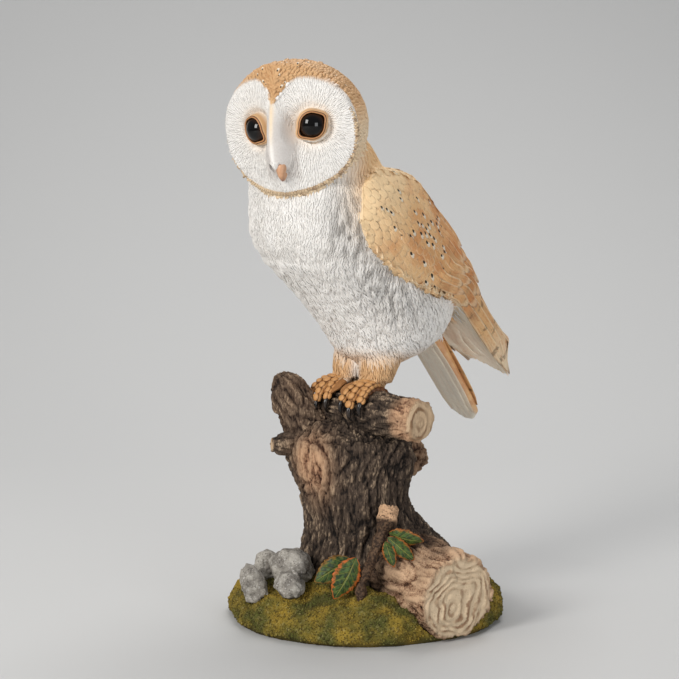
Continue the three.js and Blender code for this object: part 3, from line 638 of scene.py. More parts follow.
# a brown wash with painted shade lies in the grooves and under each tip, and each vane has streaks, a pale
# hem and a thin dark edge of painted shadow
groove_wash_and_shade = (1 - plumage_finish.value("ridge")).step(0.35, 1.0) * (0.40 + 0.5 * worn)
feathered = groove_wash_and_shade.over(plumage_finish.value("painted", "Color"), GROOVE_WASH_AND_SHADE_BROWN)
feathered = (0.35 * speckle.step(0.35, 0.85)).over(feathered, SPECKLE_GREY)
streak = (vane_across * 7.0 + worn * 9.0).wave().step(0.55, 0.95) * barbed
feathered = (streak * worn.step(0.40, 0.62) * 0.40).over(feathered, STREAK_ORANGE)
hem = off_shaft.step(0.50, 0.74) + vane_along.step(0.76, 0.88)
feathered = (hem * barbed * 0.42).tint(feathered, HEM_CREAM)
# painted shadow: a thin dark line along each vane's edge and tip, where it lies over the next
edge_shadow_line = off_shaft.step(0.80, 0.96) + vane_along.step(0.92, 0.99)
feathered = (edge_shadow_line * barbed * 0.50).over(feathered, EDGE_SHADOW_BROWN)
# some have brown bars across them, or a black dot on a pale drop near the tip
bars = (vane_along * 26.0 + vane_across * 0.8).wave().step(0.84, 0.98)
bars = bars * plumage_finish.value("barred") * worn.step(0.40, 0.65)
feathered = (bars * 0.75).tint(feathered, BAR_BROWN)
spotted = plumage_finish.value("spot")
drop_reach = ((vane_along - 0.80) * 4.4).squared() + (vane_across * 2.2).squared()
feathered = ((1 - drop_reach.step(0.5, 0.9)) * spotted * 0.9).tint(feathered, DROP_CREAM)
dot_reach = ((vane_along - 0.60) * 5.0).squared() + (vane_across * 2.7).squared()
feathered = ((1 - dot_reach.step(0.32, 0.55)) * spotted).tint(feathered, DOT_BLACK)
plumage_finish.set(Base_Color=feathered, Roughness=0.54 + 0.20 * speckle)
barbs = (off_shaft * 16.0 - vane_along * 34.0).wave() * barbed
shaft = (1 - off_shaft.step(0.03, 0.12)) * barbed
plumage_finish.relief(0.5 * barbs + 0.8 * shaft + 0.25 * speckle, 0.00022)

SKIN_RIDGE = 0.72  # the body between the feathers takes a little of the grooves' wash and painted shade
write_values(skin_mesh, "painted", plumage(skin_places, skin_outs, skin_part))
write_values(skin_mesh, "ridge", np.full(len(skin_places), SKIN_RIDGE))
skin_mesh.materials.append(plumage_finish.material)
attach(skin, "root")
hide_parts(*FLESH)


# ---- Feathers and locks -------------------------------------------------------------------------
# Every feather and tuft of the casting is a thin closed blade that starts just under the body's
# surface and lies along it, following the lie of the coat, so that its tip covers the next one's root.
ROOT_PATCH = 0.003  # how wide each blade lies on the bake's map
UNWRAP_SHARE, UNWRAP_ANGLE, UNWRAP_MARGIN = 0.03, radians(66), 0.004
BLADE_LEAST, BLADE_BELOW = 0.25, 0.35  # a blade's least thickness, and its depth below its middle, as shares
TIP_PAINT = 0.35  # how far a blade's paint is drawn towards that of its tip's place
rng = np.random.default_rng(11)

unwrap_copy = new_object("unwrap", skin_mesh.copy())
thin = unwrap_copy.modifiers.new("thin", "DECIMATE")
thin.ratio = UNWRAP_SHARE
flat_mesh = evaluated(unwrap_copy)
flat_thing = new_object("unwrap", flat_mesh)
bpy.context.view_layer.objects.active = flat_thing
flat_thing.select_set(True)
bpy.ops.object.mode_set(mode="EDIT")
bpy.ops.mesh.select_all(action="SELECT")
bpy.ops.uv.smart_project(angle_limit=UNWRAP_ANGLE, island_margin=UNWRAP_MARGIN)
bpy.ops.object.mode_set(mode="OBJECT")
flat_mesh.calc_loop_triangles()
flat_corners = rows_of(flat_mesh.vertices, "co")
flat_triangles = rows_of(flat_mesh.loop_triangles, "vertices").astype(int)
flat_loops = rows_of(flat_mesh.loop_triangles, "loops").astype(int)
flat_map = rows_of(flat_mesh.uv_layers.active.data, "uv", 2)
flat_tree = BVHTree.FromPolygons(flat_corners.tolist(), flat_triangles.tolist())
bpy.data.objects.remove(flat_thing)


def on_unwrap(places):
    """Where each place lies on the unwrap of the body."""
    at, _, face = nearest(flat_tree, places)
    a, b, c = (flat_corners[flat_triangles[face][:, k]] for k in range(3))
    areas = [np.linalg.norm(np.cross(q - at, r - at), axis=1) for q, r in ((b, c), (c, a), (a, b))]
    shares = np.stack(areas, 1) / (sum(areas)[:, None] + 1e-18)
    return (flat_map[flat_loops[face]] * shares[..., None]).sum(1)


def blade_shape(stations, sides):
    """A plain blade: a closed tube of rings, as (ring, across, height) for each point, and its faces."""
    shape = bmesh.new()
    span = stations - 1
    bmesh.ops.create_cone(shape, cap_ends=True, segments=sides, radius1=1, radius2=1, depth=span)
    for ring in range(1, span):
        whole = shape.verts[:] + shape.edges[:] + shape.faces[:]
        bmesh.ops.bisect_plane(shape, geom=whole, plane_co=(0, 0, ring - span / 2), plane_no=(0, 0, 1))
    shape.verts.ensure_lookup_table()
    points = np.array([(v.co.z + span / 2, v.co.x, v.co.y) for v in shape.verts])
    faces = [[v.index for v in face.verts] for face in shape.faces]
    shape.free()
    return points, faces


def unit(ways):
    return ways / (np.linalg.norm(ways, axis=-1, keepdims=True) + 1e-12)


def scattered(mask, spacing, thickly=2, surface=None):
    """Places spread at random over a surface's faces in the mask, none nearer than the spacing."""
    corners, faces, parts = surface or (skin_places, face_corners, face_part)
    chosen = np.repeat(np.flatnonzero(mask), thickly)
    rng.shuffle(chosen)
    shares = rng.random((len(chosen), 2))
    quad = corners[faces[chosen]]
    top = quad[:, 0] + (quad[:, 1] - quad[:, 0]) * shares[:, :1]
    bottom = quad[:, 3] + (quad[:, 2] - quad[:, 3]) * shares[:, :1]
    places = top + (bottom - top) * shares[:, 1:]
    cells, kept = {}, []
    keys = np.floor(places / spacing).astype(int).tolist()
    limit = spacing * spacing
    for number, (place, (i, j, k)) in enumerate(zip(places.tolist(), keys)):
        near = (
            other
            for a in (i - 1, i, i + 1) for b in (j - 1, j, j + 1) for c in (k - 1, k, k + 1)
            for other in cells.get((a, b, c), ())
        )
        x, y, z = place
        if all((x - o[0]) ** 2 + (y - o[1]) ** 2 + (z - o[2]) ** 2 > limit for o in near):
            cells.setdefault((i, j, k), []).append(place)
            kept.append(number)
    return places[kept], parts[chosen[kept]]


def combed(roots, flow, lengths, stations, sway=0.0):
    """Each blade's path over the body, from its root along the lie of the coat."""
    places, outs, _ = nearest(skin_tree, roots)
    trail, ways_out = [places], [outs]
    step = (lengths / (stations - 1))[:, None]
    phase = rng.random(len(roots)) * tau
    for station in range(stations - 1):
        way = flow(places)
        way = unit(way - outs * (way * outs).sum(1)[:, None])
        bend = sway * np.sin(phase + station * 1.9)
        way = unit(way + np.cross(outs, way) * bend[:, None])
        places, outs, _ = nearest(skin_tree, places + way * step)
        trail.append(places)
        ways_out.append(outs)
    return np.stack(trail, 1), np.stack(ways_out, 1)


def planted(mask, spacing, thickly, shortest, longer, flow, stations, sway):
    """The paths of blades of mixed lengths over the faces in the mask, and each one's part of the owl."""
    roots, parts = scattered(mask, spacing, thickly)
    lengths = shortest + longer * rng.random(len(roots))
    return *combed(roots, flow, lengths, stations, sway), parts


def feathered_piece(name, trail, outs, half_width, height, outline, rise, part, sides=6,
                    spots=0.0, tilt=0.0, ridge_floor=0.0, barred=0.0, barbs=0.0):
    """One mesh of all the blades along these paths. The outline is the share of the width at each
    station, and the rise is how far the tip's middle stands off the body, in heights."""
    count, stations = trail.shape[:2]
    points, faces = blade_shape(stations, sides)
    size = len(points)

    def for_points(values):
        """A value for each blade, or one for all, as one for each point."""
        return np.repeat(np.broadcast_to(values, (count,)).astype(float), size)

    ring = np.rint(points[:, 0]).astype(int)
    ahead = unit(np.gradient(trail, axis=1))
    across = unit(np.cross(outs, ahead))
    if tilt:
        across = unit(across + outs * tilt)
    share = ring / (stations - 1)
    wide = np.asarray(outline)[ring] * points[:, 1]
    tall = np.where(points[:, 2] > 0, points[:, 2], BLADE_BELOW * points[:, 2])
    tall = tall * (BLADE_LEAST + (1 - BLADE_LEAST) * np.asarray(outline)[ring])
    lifted = rise * share - 0.5 * (1 - share) ** 2
    half_width = np.broadcast_to(half_width, (count,))[:, None, None]
    height = np.broadcast_to(height, (count,))[:, None, None]
    corners = (
        trail[:, ring]
        + across[:, ring] * wide[None, :, None] * half_width
        + outs[:, ring] * (tall + lifted)[None, :, None] * height
    )
    mesh = bpy.data.meshes.new(name)
    loops = np.array([corner for face in faces for corner in face])
    totals = np.array([len(face) for face in faces])
    offsets = (np.arange(count) * size)[:, None]
    mesh.vertices.add(count * size)
    move_points(mesh, corners)
    mesh.loops.add(count * len(loops))
    mesh.loops.foreach_set("vertex_index", (loops[None] + offsets).ravel())
    mesh.polygons.add(count * len(totals))
    starts = np.concatenate([[0], np.cumsum(np.tile(totals, count))[:-1]])
    mesh.polygons.foreach_set("loop_start", starts)
    mesh.update(calc_edges=True)
    mesh.validate()
    roots = on_unwrap(trail[:, 0])
    patch = roots[:, None] + ROOT_PATCH * np.stack([0.5 * wide, share - 0.5], 1)[None]
    vane = np.broadcast_to(np.stack([share, wide], 1)[None], patch.shape)
    for map_name, values in (("OFBake", patch), ("vane", vane)):
        layer = mesh.uv_layers.new(name=map_name)
        layer.data.foreach_set("uv", values[:, loops].astype(np.float32).ravel())
    tips = np.repeat(trail[:, None, -1], size, axis=1).reshape(-1, 3)
    on_body = tips * TIP_PAINT + trail[:, ring].reshape(-1, 3) * (1 - TIP_PAINT)
    write_values(mesh, "painted", plumage(on_body, outs[:, ring].reshape(-1, 3), for_points(part)))
    # painted shade: the ridge is lower on a blade's underside and towards its root, under the tip before it,
    # so the grooves' wash and shade darken it there
    crest = np.clip(0.5 + 0.5 * points[:, 2], 0, 1) ** 0.8 * (0.45 + 0.55 * np.clip(share * 1.6, 0, 1))
    crest = ridge_floor + (1 - ridge_floor) * crest
    write_values(mesh, "ridge", np.tile(crest, count))
    write_values(mesh, "spot", for_points(spots))
    write_values(mesh, "barred", for_points(barred))
    write_values(mesh, "barbs", for_points(barbs))
    thing = new_object(name, mesh, plumage_finish)
    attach(thing, "root")
    return thing


face_places = skin_places[face_corners].mean(1)
face_outs = unit(skin_outs[face_corners].mean(1))
face_out_share = face_share(face_places)
face_front = on_front(face_places)

DISC_EDGE, EYE_RIM = 0.985, 0.0080  # where the face's own feathers end, out at the ruff and in at the eyes
# the share of a blade's width at each station, from its root to its tip
LOCK = [0.35, 0.85, 1.0, 0.8, 0.12]
LONG_LOCK = [0.35, 0.80, 1.0, 0.95, 0.70, 0.12]
WAVY_LOCK = [0.30, 0.70, 0.95, 1.0, 0.95, 0.82, 0.55, 0.12]
SCALE = [0.45, 0.9, 1.0, 0.92, 0.30]
BROAD_SCALE = [0.5, 0.85, 1.0, 1.0, 0.86, 0.35]
MARK_SCALE = [0.4, 0.8, 1.0, 1.0, 0.8, 0.3]


# Face: hair-fine feathers that spread from each eye over its dished disc.
def from_the_eyes(places):
    x, _, z = seen_in(HEAD, places).T
    side = np.where(x > 0, 1, -1)
    off_x = x - np.where(x > 0, EYE_PLACES[1][0], EYE_PLACES[-1][0])
    off_z = z - np.where(x > 0, EYE_PLACES[1][2], EYE_PLACES[-1][2])
    inner = ease(0.010, 0.002, np.abs(x))  # beside the bridge they run down
    off_x = off_x * (1 - inner) + side * 0.0012 * inner
    off_z = off_z * (1 - inner) - 0.012 * inner
    return unit(np.stack([off_x, np.zeros(len(x)), off_z], 1)) @ np.array(HEAD.to_3x3()).T


def eye_gap(places):
    """The distance from the nearer eye's middle, seen from the front of the face."""
    x, _, z = seen_in(HEAD, places).T
    gaps = [np.hypot(x - eye[0], z - eye[2]) for eye in EYE_PLACES.values()]
    return np.minimum(*gaps)


face_in_head = seen_in(HEAD, face_places)
bridge_width = np.interp(face_in_head[:, 2], [-0.020, -0.014, -0.006, 0.002, 0.010, 0.019],
                         [0.0, 0.0060, 0.0084, 0.0078, 0.0050, 0.0])
bridge_width *= np.where(face_in_head[:, 0] < 0, 0.30, 1.0)
on_disc = (face_part == HEAD_PART) & (face_front > 0.5) & (face_out_share < DISC_EDGE)
on_disc &= (eye_gap(face_places) > EYE_RIM) & (np.abs(face_in_head[:, 0]) >= bridge_width)
trail, outs, parts = planted(on_disc, 0.00080, 4, 0.0036, 0.0016, from_the_eyes, 5, 0.12)
feathered_piece("face_feathers", trail, outs, 0.00045, 0.00012, LOCK, 0.8, parts, sides=4, ridge_floor=0.66)


# Bristles on each side of the bridge's foot lie down over the root of the beak.
def over_the_beak(places):
    on_left = seen_in(HEAD, places)[:, :1] > 0
    return np.where(on_left, pointing(HEAD, -0.25, -0.2, -1), pointing(HEAD, 0.25, -0.2, -1))


BRISTLES_A_SIDE, BRISTLE_LENGTH = 9, 0.0052
bristle_roots = [
    (side * (0.0026 + 0.0005 * n), -0.036, -0.0115 - 0.0004 * n)
    for side in (1, -1) for n in range(BRISTLES_A_SIDE)
]
roots = nearest(skin_tree, placed(HEAD, bristle_roots))[0]
trail, outs = combed(roots, over_the_beak, np.full(len(roots), BRISTLE_LENGTH), 6, 0.10)
feathered_piece("beak_bristles", trail, outs, 0.00062, 0.00042, LONG_LOCK, 0.6, HEAD_PART, ridge_floor=0.66)


# Crown, nape and cheeks: short rounded feathers swept back over the head and down the neck.
def swept_back(places):
    drop = ease(-0.012, 0.022, seen_in(HEAD, places)[:, 1])[:, None]
    return pointing(HEAD, 0, 1, 0) * (1 - drop) + pointing(HEAD, 0, 0.15, -1) * drop


behind_face = (face_part == HEAD_PART) & ((face_front < 0.5) | (face_out_share >= DISC_EDGE))
trail, outs, parts = planted(behind_face, 0.00145, 3, 0.0026, 0.0016, swept_back, 5, 0.60)
spotted_crown = (rng.random(len(parts)) < 0.032) & (seen_in(HEAD, trail[:, 0])[:, 2] > 0.006)
feathered_piece("crown_feathers", trail, outs, 0.00095, 0.00042, SCALE, 1.0, parts,
                spots=spotted_crown, ridge_floor=0.25)

# On the crown lie a few larger feathers that end in a black and white mark.
MARK_LENGTH = 0.0042
well_back = (face_in_head[:, 2] > 0.008) & (face_out_share > 1.12)
roots, parts = scattered(behind_face & well_back, 0.0062, 1)
trail, outs = combed(roots, swept_back, np.full(len(roots), MARK_LENGTH), 6, 0.30)
feathered_piece("crown_marks", trail, outs, 0.00150, 0.00060, MARK_SCALE, 1.6, parts, sides=8,
                spots=1.0, ridge_floor=0.4)

# Neck, breast, belly and thighs: soft wavy tufts that curl as they run down.
CURL, CURL_SIZE = 0.42, 0.013
BREAST_ENDS, BELLY_STARTS = 0.196, 0.198  # the two rows overlap a little
noise.seed_set(8)  # the noise's ways are drawn anew in each session unless they are given a seed


def down_the_body(places):
    x, y, _ = seen_in(OWL, places).T
    side = np.where(x > 0, 1, -1)
    lean_back = ease(-0.020, 0.020, y) * 0.55
    ways = np.stack([side * 0.10 * ease(0.0, 0.02, np.abs(x)), lean_back, np.full(len(x), -1.0)], 1)
    curl = np.array([tuple(noise.noise_vector(Vector(place) / CURL_SIZE)) for place in places.tolist()])
    return unit(unit(ways) @ np.array(OWL.to_3x3()).T + CURL * curl)


trail, outs, parts = planted(face_part == NECK_PART, 0.0019, 2, 0.0048, 0.0015, down_the_body, 5, 0.15)
feathered_piece("neck_feathers", trail, outs, 0.0010, 0.00036, LOCK, 1.0, parts, ridge_floor=0.4)

breast = (face_part == TRUNK_PART) & (face_places[:, 2] >= BREAST_ENDS)
trail, outs, parts = planted(breast, 0.00115, 4, 0.0042, 0.0020, down_the_body, 6, 0.42)
feathered_piece("breast_feathers", trail, outs, 0.00055, 0.00022, LONG_LOCK, 0.9, parts, sides=4,
                ridge_floor=0.50)

belly = (face_part == TRUNK_PART) & (face_places[:, 2] < BELLY_STARTS)
trail, outs, parts = planted(belly, 0.00165, 4, 0.0074, 0.0036, down_the_body, 8, 0.50)
feathered_piece("belly_feathers", trail, outs, 0.00082, 0.00040, WAVY_LOCK, 1.0, parts, sides=4,
                ridge_floor=0.46)

on_leg = np.isin(face_part, LEG_PARTS)
trail, outs, parts = planted(on_leg, 0.00115, 3, 0.0050, 0.0020, down_the_body, 5, 0.20)
feathered_piece("leg_feathers", trail, outs, 0.00055, 0.00045, LOCK, 0.9, parts, sides=4)


# Wings: small overlapping scales on the shoulder, then rows of longer vanes.
def down_the_wing(places):
    return np.broadcast_to(pointing(LEANING, 0, 0.02, -1), places.shape)


face_lean = seen_in(LEANING, face_places)
face_down = -face_lean[:, 2]
face_outside = wing_outside(face_places, face_outs)
behind_edge = face_lean[:, 1] + 0.024 - 0.42 * (face_down - 0.045)
for side_name, wing in (("left", LEFT_WING), ("right", RIGHT_WING)):
    shoulder = (face_part == wing) & (face_outside > 0.60)
    shoulder &= face_down < np.interp(behind_edge, [0.004, 0.034], [0.098, 0.066])
    roots, parts = scattered(shoulder, 0.0030, 2)
    lean_roots = seen_in(LEANING, roots)
    grown = ease(0.012, 0.095, -lean_roots[:, 2])
    lengths = (0.0064 + 0.0046 * grown) * (0.9 + 0.2 * rng.random(len(roots)))
    trail, outs = combed(roots, down_the_wing, lengths, 6, 0.26)
    ends_on = face_part[nearest(skin_tree, trail[:, -1])[2]] == wing
    trail, outs, parts, grown = trail[ends_on], outs[ends_on], parts[ends_on], grown[ends_on]
    lean_roots = lean_roots[ends_on]
    lower_band = ease(0.030, 0.050, -lean_roots[:, 2]) * ease(-0.014, 0.006, lean_roots[:, 1])
    marked = (rng.random(len(parts)) < 0.12 + 0.20 * lower_band) & (-lean_roots[:, 2] > 0.018)
    marked &= lean_roots[:, 1] > -0.014
    feathered_piece(f"wing_{side_name}_scales", trail, outs, 0.0022 + 0.0010 * grown,
                    0.00015 + 0.00022 * grown, BROAD_SCALE, 0.62, parts, sides=8, spots=marked,
                    ridge_floor=0.84, barbs=0.22 + 0.60 * grown)


RIGHT_WING_SHARE = 0.955  # the right wing is folded a little higher than the left
CORE_DOWN = [0.012, 0.084, 0.103, 0.150, 0.187]  # a line inside the wing, that its vanes are set round
CORE_ACROSS = [0.024, 0.024, 0.021, 0.012, 0.0125]
CORE_BACK = [0.008, 0.010, 0.023, 0.0335, 0.0372]


def wing_place(side, down, degrees, reach=0.06):
    """Where a wing's outer face is, that far down it and that far round: 0 is straight out."""
    across, back = np.interp(down, CORE_DOWN, CORE_ACROSS), np.interp(down, CORE_DOWN, CORE_BACK)
    core = Vector((side * across, back, -down))
    way = Vector((side * cos(radians(degrees)), sin(radians(degrees)), 0))
    start = LEANING @ (core + way * reach)
    hit = skin_tree.ray_cast(start, LEANING.to_3x3() @ -way, reach + 0.015)[0]
    return hit if hit is not None else LEANING @ core


def row_of_vanes(side, first, last, stations, reach=0.06):
    """Paths down a wing for a row of vanes. first and last list each one's (down, degrees)."""
    trail = []
    for (down_a, turn_a), (down_b, turn_b) in zip(first, last):
        for t in np.linspace(0, 1, stations):
            turn = turn_a + (turn_b - turn_a) * t
            trail.append(tuple(wing_place(side, down_a + (down_b - down_a) * t, turn, reach)))
    trail = np.reshape(trail, (len(first), stations, 3))
    flat, ways, _ = nearest(skin_tree, trail.reshape(-1, 3))
    outs = unit(ways).reshape(trail.shape)
    for _ in range(3):
        outs[:, 1:-1] = unit(outs[:, :-2] + outs[:, 1:-1] + outs[:, 2:])
    return flat.reshape(trail.shape), outs


VANE = [0.30, 0.62, 0.82, 0.93, 1.0, 1.0, 0.98, 0.90, 0.68, 0.25]
for side_name, wing, side in (("left", LEFT_WING, 1), ("right", RIGHT_WING, -1)):
    # flight feathers, from the middle of the back round to the wing's lower front edge
    turns = np.linspace(134, -28, 10)
    tips = [0.158, 0.161, 0.164, 0.167, 0.169, 0.172, 0.178, 0.1855, 0.1855, 0.176]
    share = RIGHT_WING_SHARE if side < 0 else 1
    first = [(0.100 * share, turn) for turn in turns]
    last = [(tip * share, turn + 3) for tip, turn in zip(tips, turns)]
    trail, outs = row_of_vanes(side, first, last, 10)
    feathered_piece(f"flight_feathers_{side_name}", trail, outs, 0.0034, 0.00075, VANE, 1.5, wing, sides=10,
                    tilt=0.16 * side, ridge_floor=0.2, barred=0.8, barbs=1.0)
    for row_name, turns, root, tip, rear in (
        ("great_coverts", np.linspace(132, -30, 13), 0.087, 0.116, 0.020),
        ("small_coverts", np.linspace(128, -24, 14), 0.076, 0.100, 0.026),
    ):
        raised = rear * np.interp(turns, (0, 100), (0, 1))
        first = [((root - up) * share, turn) for up, turn in zip(raised, turns)]
        last = [((tip - 0.8 * up + 0.003 * sin(3 * n)) * share, turns[n] + 2) for n, up in enumerate(raised)]
        trail, outs = row_of_vanes(side, first, last, 10)
        feathered_piece(f"{row_name}_{side_name}", trail, outs, 0.0032, 0.00100, VANE, 2.3, wing, sides=10,
                        tilt=0.16 * side, ridge_floor=0.18, barbs=1.0, barred=0.35)
    # the same flight feathers seen from below, cream and unmarked
    turns = np.linspace(-50, -150, 6)
    first = [(0.118 * share, turn) for turn in turns]
    last = [(tip * share, turn) for tip, turn in zip((0.176, 0.185, 0.180, 0.172, 0.166, 0.160), turns)]
    trail, outs = row_of_vanes(side, first, last, 10, 0.013)
    feathered_piece(f"under_wing_{side_name}", trail, outs, 0.0032, 0.0005, VANE, 0.3, wing, sides=8,
                    tilt=0.08 * side, ridge_floor=0.85, barbs=0.3)


# Tail: a fan of vanes on its upper side, and plainer ones below.
TAIL_REACH, TAIL_CORE = 0.06, 0.008


def tail_fan(starts_back, faces_way, first, tips, stations=10):
    """Paths down one side of the tail, laid on it from behind or in front. tips lists (across, down)."""
    trail = []
    for across, tip in tips:
        for t in np.linspace(0, 1, stations):
            down = first + (tip - first) * t
            start = LEANING @ Vector((across, starts_back, -down))
            hit = skin_tree.ray_cast(start, LEANING.to_3x3() @ Vector((0, -faces_way, 0)), TAIL_REACH)[0]
            trail.append(tuple(hit if hit is not None else LEANING @ Vector((across, TAIL_CORE, -down))))
    trail = nearest(skin_tree, np.array(trail))[0].reshape(len(tips), stations, 3)
    return trail, np.broadcast_to(pointing(LEANING, 0, faces_way, 0), trail.shape)


tips = ((0, 0.193), (-0.0045, 0.191), (0.0045, 0.191), (-0.0088, 0.186), (0.0088, 0.186))
feathered_piece("tail_vanes", *tail_fan(0.0145, 1, 0.128, tips), 0.0042, 0.0008, VANE, 0.8, TAIL_PART,
                sides=8, ridge_floor=0.3, barred=1.0)
tips = ((0, 0.193), (-0.0042, 0.192), (0.0042, 0.192), (-0.0082, 0.188), (0.0082, 0.188))
feathered_piece("under_tail_vanes", *tail_fan(-0.020, -1, 0.116, tips), 0.0034, 0.0005, VANE, 0.4, TAIL_PART,
                sides=8, ridge_floor=0.85, barbs=0.3)

# Mantle: golden feathers over the back, between the wings and down from the nape.
mantle = (face_part == TRUNK_PART) & (seen_in(OWL, face_places)[:, 1] > 0.012) & (face_places[:, 2] > 0.205)
between_wings = np.isin(face_part, (LEFT_WING, RIGHT_WING)) & (np.abs(face_lean[:, 0]) < 0.012)
mantle |= between_wings & (face_outside > 0.4) & (face_down < 0.13)
trail, outs, parts = planted(mantle, 0.0036, 2, 0.0085, 0.0015, down_the_wing, 6, 0.06)
marked = rng.random(len(parts)) < 0.2
feathered_piece("mantle_feathers", trail, outs, 0.0033, 0.00085, BROAD_SCALE, 1.1, LEFT_WING, sides=8,
                spots=marked, ridge_floor=0.45, barbs=0.8)


# ---- Ruff ---------------------------------------------------------------------------------------
# A cord of small stiff feathers frames the heart-shaped face. On the casting they are short beads in
# three crowded rows, painted tan with brown between them.
RUFF_ROWS = [0.962, 0.995, 1.028]  # shares of the way out to the face's edge
RUFF_ENDS = (0.35, pi + 0.30)  # over the top of the face there is none
BEADS_ROUND, BEAD_LENGTH, BEAD_HALF_WIDTH, BEAD_HEIGHT = 140, 0.0022, 0.00072, 0.00085
BEAD = [0.55, 1.0, 0.95, 0.35]
RUFF_TAN, RUFF_BROWN = paint(206, 180, 146), paint(118, 84, 60)

roots, ways, fade = [], [], []
for row, share in enumerate(RUFF_ROWS):
    for step in range(BEADS_ROUND):
        turn = (step + 0.5 * row) * tau / BEADS_ROUND
        if RUFF_ENDS[0] < turn < RUFF_ENDS[1]:
            continue
        reach = share * face_edge(cos(turn), sin(turn))
        x, z = reach * cos(turn), reach * sin(turn) + FACE_MIDDLE
        back = Vector((cos(turn), 0.9 + 0.7 * row, sin(turn)))
        roots.append(tuple(HEAD @ Vector((x, dish(x, z), z))))
        ways.append(tuple((HEAD.to_3x3() @ back).normalized()))
        near_end = ease(pi + 0.80, RUFF_ENDS[1], turn) if turn > pi else ease(0.0, RUFF_ENDS[0], turn)
        fade.append(1 - 0.55 * near_end)
fade, ways = np.array(fade), np.array(ways)
flat, outs, _ = nearest(skin_tree, np.array(roots))
jitter = 0.8 + 0.4 * rng.random((len(flat), 1))
ways = unit(ways - outs * (ways * outs).sum(1)[:, None]) * BEAD_LENGTH * jitter * fade[:, None]
trail = np.stack([flat + ways * t for t in np.linspace(0, 1, len(BEAD))], 1)
outs = np.stack([outs] * len(BEAD), 1)
bead_width = BEAD_HALF_WIDTH * fade * (0.85 + 0.3 * rng.random(len(flat)))
ruff = feathered_piece("ruff_feathers", trail, outs, bead_width, BEAD_HEIGHT * fade, BEAD, 0.35, HEAD_PART)
ruff_places = rows_of(ruff.data.vertices, "co")
ruff_across, _, ruff_height = seen_in(HEAD, ruff_places).T
tan_share = ease(0.030, 0.002, ruff_height) * 0.85
brown_share = tan_share * ease(0.35, 0.75, cloud(ruff_places, 0.0022, 17)) * ease(-0.030, 0.020, ruff_across)
ruff_colour = blend(blend(CHEEK, RUFF_TAN, tan_share), RUFF_BROWN, 0.75 * brown_share)
ruff.data.attributes["painted"].data.foreach_set("color", opaque(ruff_colour))


# ---- Eyes and lids ------------------------------------------------------------------------------
# Each eye is a ball of clear-coated, nearly black resin with a trace of brown iris. A fleshy rim is
# modelled round it in two steps and painted tan-orange with a fine dark line outside and in.
EYE_RADIUS, EYE_BLACK, IRIS_BROWN = 0.0076, paint(5, 4, 4), paint(40, 24, 14)
LID_LINE, LID_TAN, LID_CREASE = paint(44, 28, 20), paint(196, 140, 92), paint(96, 62, 42)
LID_OUTER, LID_RIM = paint(216, 172, 124), paint(226, 206, 182)
LID_THICKNESS, LID_SIDES = 0.0006, 64
INNER_CORNER, OUTER_CORNER = 34, 30 + 180  # degrees round the eye to the corners that are drawn out

eye_finish = Finish("eye_gloss", Roughness=0.3, Coat_Weight=1.0, Coat_Roughness=0.02, Coat_IOR=1.38,
                    Specular_IOR_Level=0.0)
eye_finish.set(Base_Color=eye_finish.value("from_pupil").step(0.50, 0.80).tint(EYE_BLACK, IRIS_BROWN))

lid_finish = Finish("lid_paint", Roughness=0.5, Specular_IOR_Level=0.4)
lid_band, lid_colour = lid_finish.value("band"), LID_LINE
for starts, ends, shade in (
    (0.04, 0.16, LID_TAN), (0.34, 0.46, LID_CREASE), (0.54, 0.66, LID_OUTER), (0.84, 1.0, LID_RIM),
):
    lid_colour = lid_band.step(starts, ends).tint(lid_colour, shade)
lid_finish.set(Base_Color=lid_colour)
lid_finish.relief(lid_finish.grain(0.0006), 0.00008)

